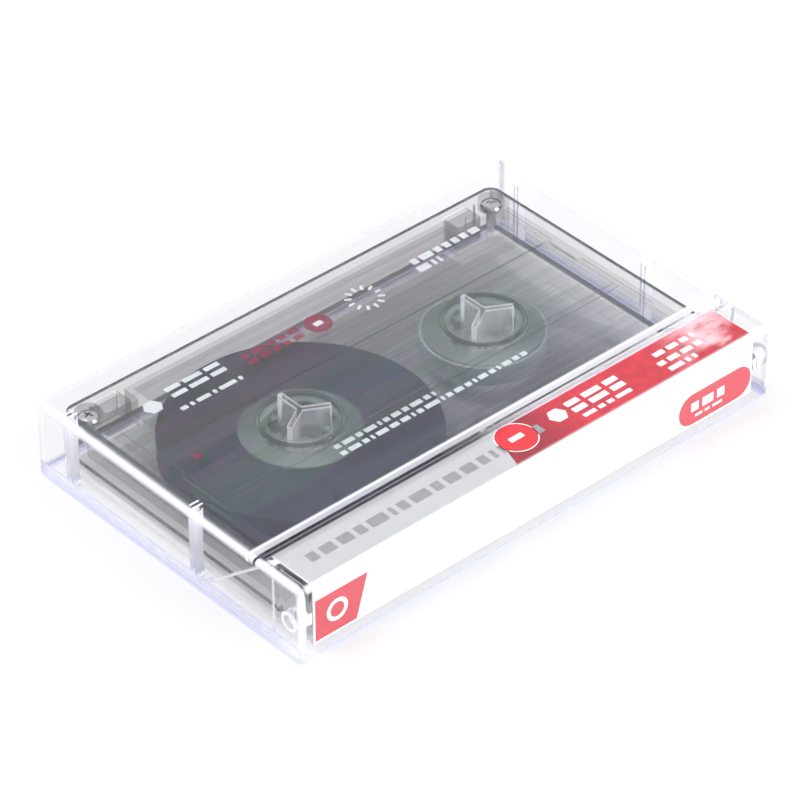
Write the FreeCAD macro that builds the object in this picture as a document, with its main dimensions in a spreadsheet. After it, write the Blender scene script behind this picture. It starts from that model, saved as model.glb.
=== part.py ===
import FreeCAD, Part
import math
import os
import re
import Sketcher

# A compact cassette lying in its closed, hinged case, side A up.
# X runs along the length, Y from the case's spine to its back, Z up.
# The origin is at the middle of the case's underside.

# Driving dimensions in millimetres.
SIZES = {
    # Cassette shell, measured over both halves.
    "shell_length": 100.4,
    "shell_width": 63.8,
    "shell_height": 8.7,
    "shell_wall": 1.2,
    "shell_plate": 1.3,
    "shell_back_corner": 2.2,
    "shell_front_corner": 1.2,
    "head_height": 12.0,
    "head_depth": 15.0,
    "head_front_length": 68.6,
    "head_back_length": 62.8,
    "hub_spacing": 42.5,
    "hub_reach": 34.6,
    "hub_hole_radius": 7.0,
    "window_end_inset": 4.7,
    "window_front": 9.0,
    "window_back": 9.6,
    "window_depth": 0.25,
    "window_corner": 2.0,
    # Openings on the head side of the shell.
    "head_window": 14.8,
    "opening_half_height": 4.0,
    "side_window_start": 10.4,
    "side_window": 5.2,
    "roller_window_start": 17.0,
    "roller_window": 7.6,
    "capstan_spacing": 41.6,
    "capstan_back": 6.1,
    "capstan_radius": 3.1,
    "locator_spacing": 26.4,
    "locator_back": 7.6,
    "locator_side": 4.4,
    # Screw bosses and the recesses over them.
    "screw_end_inset": 3.2,
    "screw_back_inset": 3.4,
    "screw_front_inset": 3.7,
    "middle_screw_inset": 10.5,
    "boss_radius": 2.9,
    "screw_recess_radius": 2.5,
    "screw_recess_depth": 1.8,
    # Write-protect tabs at the back edge.
    "tab_inset": 12.0,
    "tab_length": 5.4,
    "tab_depth": 4.2,
    "tab_half_height": 2.6,
    "tab_wall": 0.9,
    "tab_slit": 0.4,
    # Reels and tape.
    "hub_radius": 10.9,
    "hub_bore": 5.7,
    "hub_collar": 6.7,
    "hub_collar_half": 3.85,
    "hub_rim_half": 2.3,
    "tooth_count": 6,
    "tooth_tip": 4.1,
    "tooth_width": 1.3,
    "tooth_half": 3.3,
    "tooth_root": 0.2,
    "clamp_width": 5.0,
    "clamp_depth": 1.9,
    "clamp_gap": 0.05,
    "pack_room": 3.1,
    "leader_depth": 0.5,
    "tape_width": 3.81,
    "tape_thickness": 0.1,
    "tape_gap": 0.14,
    # Tape path.
    "path_inset": 2.6,
    "roller_spacing": 79.0,
    "roller_radius": 3.4,
    "roller_half": 2.45,
    "axle_radius": 1.0,
    "axle_clearance": 0.06,
    "axle_socket": 0.6,
    "guide_rib": 2.2,
    "inner_guide_rib": 10.0,
    "outer_guide_rib": 27.5,
    "guide_rib_gap": 0.15,
    # Pressure pad, its spring and the shield behind it.
    "pad_length": 4.2,
    "pad_thickness": 1.4,
    "pad_half_height": 2.0,
    "pad_gap": 0.1,
    "spring_thickness": 0.2,
    "spring_half_height": 2.0,
    "spring_rise": 1.25,
    "spring_crown": 2.3,
    "spring_foot": 5.5,
    "holder_start": 7.0,
    "holder_length": 2.2,
    "holder_cover": 0.5,
    "spring_slot": 1.4,
    "shield_slot": 0.8,
    "shield_gap": 0.35,
    "shield_thickness": 0.5,
    "shield_half_height": 2.6,
    "shield_lip": 0.8,
    "shield_lip_inset": 0.4,
    # Slip sheets between the reels and the shell.
    "sheet_thickness": 0.15,
    "sheet_hole": 7.6,
    "sheet_end_gap": 1.5,
    "sheet_front_overlap": 0.4,
    "sheet_back_gap": 1.0,
    "sheet_notch_gap": 1.1,
    # Folded inlay card.
    "card_thickness": 0.3,
    "card_fold": 0.6,
    "card_end_gap": 0.97,
    "card_back_gap": 2.1,
    "card_flap": 10.2,
    # Case, sized from the cassette and the room round it.
    "pocket_end_room": 1.57,
    "pocket_front_room": 2.25,
    "case_back_room": 0.75,
    "head_room": 0.3,
    "case_wall": 1.2,
    "floor_thickness": 1.5,
    "cheek_wall": 1.2,
    "ear_wall": 1.25,
    "ear_gap": 0.28,
    "ear_corner": 2.2,
    "case_corner": 1.5,
    "strip_width": 11.5,
    "strip_edge": 0.8,
    "lid_front_gap": 1.65,
    "lid_foot_gap": 0.15,
    "lid_edge": 0.4,
    "pivot_setback": 2.85,
    "pivot_radius": 2.0,
    "pivot_clearance": 0.06,
    "pivot_tip_gap": 0.1,
    "pivot_core_radius": 1.0,
    "pivot_core_extra": 0.6,
    "cheek_foot": 24.5,
    "cheek_toe": 1.0,
    "cheek_drop": 2.1,
    "cheek_rib_depth": 0.55,
    "cheek_rib_width": 1.0,
    "cheek_rib_setback": 8.35,
    "end_rib_depth": 2.0,
    "end_rib_width": 1.3,
    "end_rib_front": 29.0,
    "end_rib_back_inset": 7.4,
    "gusset_spacing": 66.0,
    "gusset_size": 2.6,
    "gusset_width": 1.2,
    # Three-winged pegs under the lid.
    "peg_radius": 5.4,
    "peg_tip_radius": 3.2,
    "peg_length": 10.0,
    "peg_straight": 5.6,
    "peg_wing": 1.0,
    "peg_wings": 3,
}

# Places worked out from the driving dimensions, as formulas of them.
SHELL_HALF = "(shell_length / 2)"
SHELL_FRONT = "(-hub_reach)"
SHELL_BACK = "(shell_width - hub_reach)"
FACE = "(shell_height / 2)"
INNER = f"({FACE} - shell_plate)"
HEAD_FACE = "(head_height / 2)"
HEAD_INNER = f"({HEAD_FACE} - shell_plate)"
HUB_X = "(hub_spacing / 2)"
PATH = f"({SHELL_FRONT} + path_inset)"
PACK_RADIUS = f"({SHELL_BACK} - shell_wall - pack_room)"
TAB_START = f"({SHELL_HALF} - tab_inset)"
SCREW_BACK = f"({SHELL_BACK} - screw_back_inset)"
ROLLER_X = "(roller_spacing / 2)"
ROLLER_Y = f"({PATH} + tape_thickness + tape_gap + roller_radius)"
LEADER_RADIUS = "(hub_radius + leader_depth)"
PAD_FRONT = f"({PATH} + tape_thickness + pad_gap)"
PAD_BACK = f"({PAD_FRONT} + pad_thickness)"
SPRING_FRONT = f"({PAD_BACK} + spring_rise)"
SPRING_BACK = f"({SPRING_FRONT} + spring_thickness)"
SHIELD_FRONT = f"({SPRING_BACK} + shield_gap)"
SHIELD_BACK = f"({SHIELD_FRONT} + shield_thickness)"

CHEEK_IN = f"({SHELL_HALF} + pocket_end_room)"
CHEEK_OUT = f"({CHEEK_IN} + cheek_wall)"
EAR_IN = f"({CHEEK_OUT} + ear_gap)"
CASE_HALF = f"({EAR_IN} + ear_wall)"
CASE_DEPTH = "(2 * case_wall + card_thickness + pocket_front_room + shell_width + case_back_room)"
SPINE = f"(-{CASE_DEPTH} / 2)"
SPINE_IN = f"({SPINE} + case_wall)"
BACK = f"({CASE_DEPTH} / 2)"
BACK_IN = f"({BACK} - case_wall)"
ROOF = "(floor_thickness + 2 * card_thickness + head_height + head_room)"
CASE_TOP = f"({ROOF} + case_wall)"
STRIP_BACK = f"({SPINE} + strip_width)"
LID_FRONT = f"({STRIP_BACK} + lid_front_gap)"
LID_FOOT = "(floor_thickness + lid_foot_gap)"
PIVOT_Y = f"({SPINE} + pivot_setback)"
PIVOT_Z = f"({CASE_TOP} / 2)"
HUB_ROW = f"({SPINE_IN} + card_thickness + pocket_front_room + hub_reach)"
CASSETTE_MIDDLE = "(floor_thickness + card_thickness + head_height / 2)"
CARD_BACK = f"({BACK_IN} - card_back_gap)"
CARD_HALF = f"({CHEEK_IN} - card_end_gap)"
SIDES = ("-", "")

doc = FreeCAD.newDocument("CassetteInCase")
sheet = doc.addObject("Spreadsheet::Sheet", "Sizes")
pieces = []


def fill_sheet():
    for row, (alias, size) in enumerate(SIZES.items(), start=1):
        sheet.set(f"A{row}", alias)
        sheet.set(f"B{row}", str(size))
        sheet.setAlias(f"B{row}", alias)
    doc.recompute()


def value(formula):
    return float(sheet.evalExpression(formula))


def bind(thing, name, formula):
    linked = re.sub(r"[a-z_]+", lambda word: "Sizes." + word.group() if word.group() in SIZES else word.group(), formula)
    thing.setExpression(name, linked)


def new_body(name):
    body = doc.addObject("PartDesign::Body", name)
    body.Label = name
    pieces.append(body)
    return body


def origin_part(body, role):
    return next(part for part in body.Origin.OriginFeatures if part.Role == role)


def new_sketch(body, name, role, height="0", across="0", along="0"):
    sketch = body.newObject("Sketcher::SketchObject", f"{body.Name}_{name}")
    sketch.AttachmentSupport = [(origin_part(body, role), "")]
    sketch.MapMode = "FlatFace"
    bind(sketch, "AttachmentOffset.Base.x", across)
    bind(sketch, "AttachmentOffset.Base.y", along)
    bind(sketch, "AttachmentOffset.Base.z", height)
    return sketch


def fix_point(sketch, curve, end, x, y):
    for axis, formula in (("X", x), ("Y", y)):
        limit = Sketcher.Constraint(f"Distance{axis}", -1, 1, curve, end, value(formula))
        index = sketch.addConstraint(limit)
        name = f"place{axis}{curve}"
        sketch.renameConstraint(index, name)
        bind(sketch, f"Constraints.{name}", formula)


def fix_radius(sketch, curve, radius):
    index = sketch.addConstraint(Sketcher.Constraint("Radius", curve, value(radius)))
    name = f"radius{curve}"
    sketch.renameConstraint(index, name)
    bind(sketch, f"Constraints.{name}", radius)


def outline(sketch, corners, rounds=None):
    """Draws a closed outline through the corners and rounds those named by their number."""
    first = sketch.GeometryCount
    count = len(corners)
    points = [FreeCAD.Vector(value(x), value(y), 0) for x, y in corners]
    for number, point in enumerate(points):
        sketch.addGeometry(Part.LineSegment(point, points[(number + 1) % count]))
    for number in range(count):
        joint = Sketcher.Constraint("Coincident", first + number, 2, first + (number + 1) % count, 1)
        sketch.addConstraint(joint)
    for number, (x, y) in enumerate(corners):
        fix_point(sketch, first + number, 1, x, y)
    for number, radius in (rounds or {}).items():
        round_corner(sketch, first, count, number, points, radius)


def round_corner(sketch, first, count, number, points, radius):
    size = value(radius)
    corner = points[number]
    before = points[(number - 1) % count]
    after = points[(number + 1) % count]
    near_before = corner + (before - corner).normalize() * size
    near_after = corner + (after - corner).normalize() * size
    line_before = first + (number - 1) % count
    line_after = first + number
    sketch.fillet(line_before, line_after, near_before, near_after, size, True, True)
    fix_radius(sketch, sketch.GeometryCount - 2, radius)


def rectangle(sketch, left, front, right, back, radius=None):
    corners = [(left, front), (right, front), (right, back), (left, back)]
    rounds = {number: radius for number in range(4)} if radius else None
    outline(sketch, corners, rounds)


def circle(sketch, x, y, radius):
    centre = FreeCAD.Vector(value(x), value(y), 0)
    index = sketch.addGeometry(Part.Circle(centre, FreeCAD.Vector(0, 0, 1), value(radius)))
    fix_point(sketch, index, 3, x, y)
    fix_radius(sketch, index, radius)


def pad(sketch, length, backwards=False):
    body = sketch.getParentGeoFeatureGroup()
    feature = body.newObject("PartDesign::Pad", f"{sketch.Name}_pad")
    feature.Profile = sketch
    feature.Reversed = backwards
    bind(feature, "Length", length)
    return feature


def pocket(sketch, depth, along_normal=False):
    body = sketch.getParentGeoFeatureGroup()
    doc.recompute()
    before = body.Shape.Volume
    feature = body.newObject("PartDesign::Pocket", f"{sketch.Name}_pocket")
    feature.Profile = sketch
    feature.Reversed = along_normal
    bind(feature, "Length", depth)
    doc.recompute()
    if body.Shape.Volume >= before:
        raise RuntimeError(f"{feature.Name} cuts nothing")
    return feature


def revolve(sketch):
    body = sketch.getParentGeoFeatureGroup()
    feature = body.newObject("PartDesign::Revolution", f"{sketch.Name}_turned")
    feature.Profile = sketch
    feature.ReferenceAxis = (sketch, ["V_Axis"])
    feature.Angle = 360
    return feature


def mirror(body, features, name="mirrored"):
    feature = body.newObject("PartDesign::Mirrored", f"{body.Name}_{name}")
    feature.Originals = features
    feature.MirrorPlane = (origin_part(body, "YZ_Plane"), [""])
    body.Tip = feature
    doc.recompute()
    return feature


def spin(body, feature, axis, count, name):
    pattern = body.newObject("PartDesign::PolarPattern", f"{body.Name}_{name}")
    pattern.Originals = [feature]
    pattern.Axis = axis
    pattern.Angle = 360
    bind(pattern, "Occurrences", count)
    body.Tip = pattern
    doc.recompute()
    return pattern


def soften(body, name, radius, wanted):
    """Rounds the edges for which wanted(edge) holds."""
    doc.recompute()
    base = body.Tip
    names = [f"Edge{number}" for number, edge in enumerate(base.Shape.Edges, start=1) if wanted(edge)]
    if not names:
        raise RuntimeError(f"{body.Name} has no edge for {name}")
    feature = body.newObject("PartDesign::Fillet", f"{body.Name}_{name}")
    feature.Base = (base, names)
    bind(feature, "Radius", radius)
    doc.recompute()
    return feature


def bevel(body, name, width, wanted):
    """Cuts a bevel along the edges for which wanted(edge) holds."""
    doc.recompute()
    base = body.Tip
    names = [f"Edge{number}" for number, edge in enumerate(base.Shape.Edges, start=1) if wanted(edge)]
    feature = body.newObject("PartDesign::Chamfer", f"{body.Name}_{name}")
    feature.Base = (base, names)
    bind(feature, "Size", width)
    doc.recompute()
    return feature


def runs_along(edge, axis):
    if not isinstance(edge.Curve, Part.Line):
        return False
    return abs(getattr(edge.Curve.Direction, axis)) > 0.999


def near(position, formula):
    return abs(position - value(formula)) < 0.01


def new_cylinder(name, radius, height, z="0"):
    cylinder = doc.addObject("Part::Cylinder", name)
    bind(cylinder, "Radius", radius)
    bind(cylinder, "Height", height)
    set_place(cylinder, z=z)
    return cylinder


def set_place(thing, x="0", y="0", z="0"):
    for axis, formula in (("x", x), ("y", y), ("z", z)):
        bind(thing, f"Placement.Base.{axis}", formula)


def place_in_cassette(thing, x="0"):
    set_place(thing, x, HUB_ROW, CASSETTE_MIDDLE)


# Case half that holds the cassette and the card: floor, spine, strip and two cheeks.
def build_holder():
    body = new_body("case_holder")
    floor = new_sketch(body, "floor", "XY_Plane")
    rectangle(floor, f"-{CASE_HALF}", SPINE, CASE_HALF, BACK, "case_corner")
    pad(floor, "floor_thickness")
    spine = new_sketch(body, "spine", "XY_Plane")
    rectangle(spine, f"-{CHEEK_OUT}", SPINE, CHEEK_OUT, SPINE_IN)
    pad(spine, CASE_TOP)
    strip = new_sketch(body, "strip", "XY_Plane", ROOF)
    rectangle(strip, f"-{CHEEK_OUT}", SPINE, CHEEK_OUT, STRIP_BACK)
    pad(strip, "case_wall")
    add_cheeks(body)
    front_top = lambda edge: (runs_along(edge, "x") and near(edge.CenterOfMass.y, SPINE)
                              and near(edge.CenterOfMass.z, CASE_TOP))
    soften(body, "strip_edge", "strip_edge", front_top)


def add_cheeks(body):
    cheek_back = f"({SPINE} + cheek_foot)"
    cheek = new_sketch(body, "cheek", "YZ_Plane", f"-{CHEEK_OUT}")
    corners = [
        (SPINE, "0"),
        (cheek_back, "0"),
        (cheek_back, "floor_thickness + cheek_toe"),
        (STRIP_BACK, f"{CASE_TOP} - cheek_drop"),
        (STRIP_BACK, CASE_TOP),
        (SPINE, CASE_TOP),
    ]
    outline(cheek, corners, {2: "cheek_toe / 2"})
    plate = pad(cheek, "cheek_wall")
    hole = new_sketch(body, "pivot_hole", "YZ_Plane", f"-{CHEEK_OUT}")
    circle(hole, PIVOT_Y, PIVOT_Z, "pivot_radius + pivot_clearance")
    cut = pocket(hole, "cheek_wall", along_normal=True)
    rib = new_sketch(body, "cheek_rib", "XY_Plane", "floor_thickness")
    middle = f"({SPINE} + cheek_rib_setback)"
    rectangle(rib, f"-{CHEEK_IN}", f"{middle} - cheek_rib_width / 2",
              f"-{CHEEK_IN} + cheek_rib_depth", f"{middle} + cheek_rib_width / 2")
    ridge = pad(rib, f"{ROOF} - floor_thickness")
    mirror(body, [plate, cut, ridge])


# Case half that opens: panel, back wall, end walls with pivot ears, ribs and pegs.
def build_lid():
    body = new_body("case_lid")
    panel = new_sketch(body, "panel", "XY_Plane", ROOF)
    rectangle(panel, f"-{CASE_HALF}", LID_FRONT, CASE_HALF, BACK)
    pad(panel, "case_wall")
    back = new_sketch(body, "back", "XY_Plane", LID_FOOT)
    rectangle(back, f"-{CASE_HALF}", BACK_IN, CASE_HALF, BACK)
    pad(back, f"{CASE_TOP} - {LID_FOOT}")
    mirror(body, add_end_wall(body) + add_end_ribs(body) + [add_gusset(body)])
    for side in SIDES:
        add_peg(body, side)
    upright = lambda edge: (runs_along(edge, "z") and near(edge.CenterOfMass.y, BACK)
                            and near(abs(edge.CenterOfMass.x), CASE_HALF))
    soften(body, "back_corners", "case_corner", upright)
    rim = lambda edge: near(edge.CenterOfMass.z, CASE_TOP) and not near(edge.CenterOfMass.y, LID_FRONT) and outer(edge)
    bevel(body, "rim", "lid_edge", rim)


def outer(edge):
    middle = edge.CenterOfMass
    at_end = near(abs(middle.x), CASE_HALF)
    at_back = near(middle.y, BACK)
    return at_end or at_back or not isinstance(edge.Curve, Part.Line)


def add_end_wall(body):
    wall = new_sketch(body, "end", "YZ_Plane", f"-{CASE_HALF}")
    corners = [(SPINE, LID_FOOT), (BACK, LID_FOOT), (BACK, CASE_TOP), (SPINE, CASE_TOP)]
    outline(wall, corners, {0: "ear_corner", 3: "ear_corner"})
    plate = pad(wall, "ear_wall")
    pin = new_sketch(body, "pin", "YZ_Plane", f"-{EAR_IN}")
    circle(pin, PIVOT_Y, PIVOT_Z, "pivot_radius")
    stub = pad(pin, "ear_gap + cheek_wall - pivot_tip_gap")
    core = new_sketch(body, "pin_core", "YZ_Plane", f"-{CASE_HALF}")
    circle(core, PIVOT_Y, PIVOT_Z, "pivot_core_radius")
    cut = pocket(core, "ear_wall + pivot_core_extra", along_normal=True)
    return [plate, stub, cut]


def add_end_ribs(body):
    ribs = []
    for name, middle in (("front_rib", f"({SPINE} + end_rib_front)"), ("back_rib", f"({BACK} - end_rib_back_inset)")):
        rib = new_sketch(body, name, "XY_Plane", LID_FOOT)
        rectangle(rib, f"-{EAR_IN}", f"{middle} - end_rib_width / 2",
                  f"-{EAR_IN} + end_rib_depth", f"{middle} + end_rib_width / 2")
        ribs.append(pad(rib, f"{ROOF} - {LID_FOOT}"))
    return ribs


def add_gusset(body):
    gusset = new_sketch(body, "gusset", "YZ_Plane", "-(gusset_spacing + gusset_width) / 2")
    corners = [(BACK_IN, f"{ROOF} - gusset_size"), (BACK_IN, ROOF), (f"{BACK_IN} - gusset_size", ROOF)]
    outline(gusset, corners)
    return pad(gusset, "gusset_width")


def add_peg(body, side):
    name = "left_peg" if side else "right_peg"
    centre = f"{side}{HUB_X}"
    wing = new_sketch(body, name, "YZ_Plane", f"{centre} - peg_wing / 2")
    corners = [
        (HUB_ROW, f"{ROOF} - peg_length"),
        (f"{HUB_ROW} + peg_tip_radius", f"{ROOF} - peg_length"),
        (f"{HUB_ROW} + peg_radius", f"{ROOF} - peg_straight"),
        (f"{HUB_ROW} + peg_radius", ROOF),
        (HUB_ROW, ROOF),
    ]
    outline(wing, corners)
    blade = pad(wing, "peg_wing")
    axis = new_sketch(body, f"{name}_axis", "XY_Plane", "0", centre, HUB_ROW)
    spin(body, blade, (axis, ["N_Axis"]), "peg_wings", f"{name}_wings")


# Inlay card, folded once round the cassette's head side: floor panel, spine and top flap.
def build_card():
    body = new_body("inlay_card")
    section = new_sketch(body, "section", "YZ_Plane", f"-{CARD_HALF}")
    low = "floor_thickness"
    low_in = "(floor_thickness + card_thickness)"
    high_in = f"({ROOF} - card_thickness)"
    fold_in = f"({SPINE_IN} + card_thickness)"
    flap = f"({SPINE_IN} + card_flap)"
    corners = [
        (SPINE_IN, low), (CARD_BACK, low), (CARD_BACK, low_in), (fold_in, low_in),
        (fold_in, high_in), (flap, high_in), (flap, ROOF), (SPINE_IN, ROOF),
    ]
    inner_fold = "card_fold - card_thickness"
    outline(section, corners, {0: "card_fold", 3: inner_fold, 4: inner_fold, 7: "card_fold"})
    pad(section, f"2 * {CARD_HALF}")


# Half of the cassette shell, drawn with its parting face at zero height and its outside up.
def build_shell(name, upper):
    body = new_body(name)
    add_shell_skin(body)
    add_tab_pockets(body)
    add_hub_holes(body)
    add_bosses(body, upper)
    add_path_parts(body)
    add_head_openings(body)
    face = new_sketch(body, "label_window", "XY_Plane", FACE)
    window_end = f"({SHELL_HALF} - window_end_inset)"
    rectangle(face, f"-{window_end}", "-window_front", window_end, "window_back", "window_corner")
    pocket(face, "window_depth")
    if upper:
        place_in_cassette(body)
    else:
        turn_over(body)


def turn_over(body):
    body.Placement = FreeCAD.Placement(FreeCAD.Vector(), FreeCAD.Rotation(FreeCAD.Vector(0, 1, 0), 180))
    place_in_cassette(body)


def head_outline(inset):
    """The raised head part in plan, drawn in by the inset on all sides."""
    front = f"({SHELL_FRONT} + {inset})"
    back = f"({SHELL_FRONT} + head_depth - {inset})"
    front_half = f"(head_front_length / 2 - {inset})"
    back_half = f"(head_back_length / 2 - {inset})"
    return [(f"-{front_half}", front), (front_half, front), (back_half, back), (f"-{back_half}", back)]


def add_shell_skin(body):
    block = new_sketch(body, "block", "XY_Plane")
    corners = [
        (f"-{SHELL_HALF}", SHELL_FRONT), (SHELL_HALF, SHELL_FRONT),
        (SHELL_HALF, SHELL_BACK), (f"-{SHELL_HALF}", SHELL_BACK),
    ]
    rounds = {0: "shell_front_corner", 1: "shell_front_corner", 2: "shell_back_corner", 3: "shell_back_corner"}
    outline(block, corners, rounds)
    pad(block, FACE)
    head = new_sketch(body, "head", "XY_Plane")
    outline(head, head_outline("0"))
    pad(head, HEAD_FACE)
    cavity = new_sketch(body, "cavity", "XY_Plane")
    rectangle(cavity, f"-{SHELL_HALF} + shell_wall", f"{SHELL_FRONT} + shell_wall",
              f"{SHELL_HALF} - shell_wall", f"{SHELL_BACK} - shell_wall")
    pocket(cavity, INNER, along_normal=True)
    head_cavity = new_sketch(body, "head_cavity", "XY_Plane")
    outline(head_cavity, head_outline("shell_wall"))
    pocket(head_cavity, HEAD_INNER, along_normal=True)


def add_hub_holes(body):
    holes = new_sketch(body, "hub_holes", "XY_Plane", FACE)
    for side in SIDES:
        circle(holes, f"{side}{HUB_X}", "0", "hub_hole_radius")
    pocket(holes, "shell_plate")


def screw_spots():
    """Each screw's name, its place in plan and the height of the face over it."""
    end = f"({SHELL_HALF} - screw_end_inset)"
    front = f"({SHELL_FRONT} + screw_front_inset)"
    return [
        ("back_left", f"-{end}", SCREW_BACK, FACE),
        ("back_right", end, SCREW_BACK, FACE),
        ("front_left", f"-{end}", front, FACE),
        ("front_right", end, front, FACE),
        ("middle", "0", f"({SHELL_FRONT} + middle_screw_inset)", HEAD_FACE),
    ]


def add_bosses(body, upper):
    for name, x, y, face in screw_spots():
        boss = new_sketch(body, f"{name}_boss", "XY_Plane")
        circle(boss, x, y, "boss_radius")
        pad(boss, f"{face} - shell_plate / 2")
        if upper:
            recess = new_sketch(body, f"{name}_recess", "XY_Plane", face)
            circle(recess, x, y, "screw_recess_radius")
            pocket(recess, "screw_recess_depth")


def add_path_parts(body):
    sockets = new_sketch(body, "axle_sockets", "XY_Plane", INNER)
    for side in SIDES:
        circle(sockets, f"{side}{ROLLER_X}", ROLLER_Y, "axle_radius")
    pocket(sockets, "axle_socket", along_normal=True)
    ribs = new_sketch(body, "guide_ribs", "XY_Plane")
    front = f"({PATH} + tape_thickness + guide_rib_gap)"
    for side in SIDES:
        for middle in ("inner_guide_rib", "outer_guide_rib"):
            rectangle(ribs, f"{side}{middle} - guide_rib / 2", front,
                      f"{side}{middle} + guide_rib / 2", f"{front} + guide_rib")
    pad(ribs, f"{HEAD_FACE} - shell_plate / 2")
    holders = new_sketch(body, "spring_holders", "XY_Plane")
    for side in SIDES:
        draw_spring_holder(holders, side)
    pad(holders, f"{HEAD_FACE} - shell_plate / 2")


def draw_spring_holder(sketch, side):
    """A block slotted twice on its inner side, for the spring's end and the shield's end."""
    start = f"{side}holder_start"
    outside = f"{side}(holder_start + holder_length)"
    spring_end = f"{side}(holder_start + spring_slot)"
    shield_end = f"{side}(holder_start + shield_slot)"
    front = f"({SPRING_FRONT} - holder_cover)"
    back = f"({SHIELD_BACK} + holder_cover)"
    corners = [
        (start, front), (outside, front), (outside, back), (start, back),
        (start, SHIELD_BACK), (shield_end, SHIELD_BACK), (shield_end, SHIELD_FRONT), (start, SHIELD_FRONT),
        (start, SPRING_BACK), (spring_end, SPRING_BACK), (spring_end, SPRING_FRONT), (start, SPRING_FRONT),
    ]
    outline(sketch, corners)


def add_tab_pockets(body):
    start = TAB_START
    end = f"({TAB_START} + tab_length)"
    mouth = f"({SHELL_BACK} - tab_depth)"
    for side in SIDES:
        name = "left" if side else "right"
        walls = new_sketch(body, f"{name}_tab_walls", "XY_Plane")
        rectangle(walls, f"{side}({start} - tab_wall)", f"{mouth} - tab_wall", f"{side}({end} + tab_wall)",
                  f"{SHELL_BACK} - shell_wall / 2")
        pad(walls, f"{FACE} - shell_plate / 2")
        room = new_sketch(body, f"{name}_tab_room", "XY_Plane")
        rectangle(room, f"{side}{start}", mouth, f"{side}{end}", f"{SHELL_BACK} + shell_wall")
        pocket(room, "tab_half_height", along_normal=True)
    tab = new_sketch(body, "tab", "XZ_Plane", f"-{SHELL_BACK}")
    corners = [
        (f"{start} + tab_slit", "tab_slit - tab_half_height"),
        (f"{end} - tab_slit", "tab_slit - tab_half_height"),
        (f"{end} - tab_slit", "tab_slit"),
        (end, "tab_slit"),
        (end, "tab_half_height - tab_slit"),
        (f"{start} + tab_slit", "tab_half_height - tab_slit"),
    ]
    outline(tab, corners)
    pad(tab, "tab_wall")


def add_head_openings(body):
    windows = new_sketch(body, "head_windows", "XZ_Plane", "hub_reach")
    low = "-shell_wall"
    rectangle(windows, "-head_window / 2", low, "head_window / 2", "opening_half_height")
    for side in SIDES:
        for start, length in (("side_window_start", "side_window"), ("roller_window_start", "roller_window")):
            rectangle(windows, f"{side}{start}", low, f"{side}({start} + {length})", "opening_half_height")
    pocket(windows, "shell_wall")
    holes = new_sketch(body, "drive_holes", "XY_Plane", HEAD_FACE)
    half = "locator_side / 2"
    for side in SIDES:
        circle(holes, f"{side}capstan_spacing / 2", f"{SHELL_FRONT} + capstan_back", "capstan_radius")
        x = f"{side}locator_spacing / 2"
        y = f"({SHELL_FRONT} + locator_back)"
        rectangle(holes, f"{x} - {half}", f"{y} - {half}", f"{x} + {half}", f"{y} + {half}")
    pocket(holes, "shell_plate")


# Slip sheet: a thin lubricated sheet against the inside of a shell half.
def build_slip_sheet(name, low):
    body = new_body(name)
    sheet_sketch = new_sketch(body, "sheet", "XY_Plane", low)
    end = f"({SHELL_HALF} - shell_wall - sheet_end_gap)"
    front = f"({SHELL_FRONT} + head_depth - sheet_front_overlap)"
    back = f"({SHELL_BACK} - shell_wall - sheet_back_gap)"
    notch_front = f"({SCREW_BACK} - boss_radius - sheet_notch_gap)"
    notch_start = f"({TAB_START} - tab_wall - sheet_notch_gap)"
    half = [(end, front), (end, notch_front), (notch_start, notch_front), (notch_start, back)]
    corners = half + [(f"-{x}", y) for x, y in reversed(half)]
    outline(sheet_sketch, corners)
    for side in SIDES:
        circle(sheet_sketch, f"{side}{HUB_X}", "0", "sheet_hole")
    pad(sheet_sketch, "sheet_thickness")
    place_in_cassette(body)


# Hub: a collar with drive teeth inside, and a rim with the slot for the clamp.
def build_hub(name, x):
    body = new_body(name)
    section = new_sketch(body, "section", "XZ_Plane")
    lower = [
        ("hub_bore", "-hub_collar_half"), ("hub_collar", "-hub_collar_half"),
        ("hub_collar", "-hub_rim_half"), ("hub_radius", "-hub_rim_half"),
    ]
    upper = [(radius, height.lstrip("-")) for radius, height in reversed(lower)]
    outline(section, lower + upper)
    revolve(section)
    tooth = new_sketch(body, "tooth", "XY_Plane", "-tooth_half")
    rectangle(tooth, "tooth_tip", "-tooth_width / 2", "hub_bore + tooth_root", "tooth_width / 2")
    spin(body, pad(tooth, "2 * tooth_half"), (origin_part(body, "Z_Axis"), [""]), "tooth_count", "teeth")
    slot = new_sketch(body, "clamp_slot", "XY_Plane", "hub_rim_half")
    rectangle(slot, "-clamp_width / 2", "hub_radius - clamp_depth", "clamp_width / 2", "hub_radius + clamp_depth")
    pocket(slot, "2 * hub_rim_half")
    place_in_cassette(body, x)


# Clamp: the wedge that holds the leader's end in the hub's rim.
def build_clamp(name, x):
    low = "-tape_width / 2"
    disc = new_cylinder(f"{name}_disc", "hub_radius", "tape_width", z=low)
    block = doc.addObject("Part::Box", f"{name}_block")
    bind(block, "Length", "clamp_width - 2 * clamp_gap")
    bind(block, "Width", "hub_radius")
    bind(block, "Height", "tape_width")
    set_place(block, "clamp_gap - clamp_width / 2", "hub_radius - clamp_depth + clamp_gap", low)
    clamp = doc.addObject("Part::Common", name)
    clamp.Base = disc
    clamp.Tool = block
    clamp.Label = name
    place_in_cassette(clamp, x)
    pieces.append(clamp)


# Wound tape on the supply hub, as one solid ring.
def build_tape_pack():
    body = new_body("supply_tape_pack")
    ring = new_sketch(body, "ring", "XY_Plane", "-tape_width / 2")
    circle(ring, "0", "0", "hub_radius")
    circle(ring, "0", "0", PACK_RADIUS)
    pad(ring, "tape_width")
    place_in_cassette(body, f"-{HUB_X}")


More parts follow.
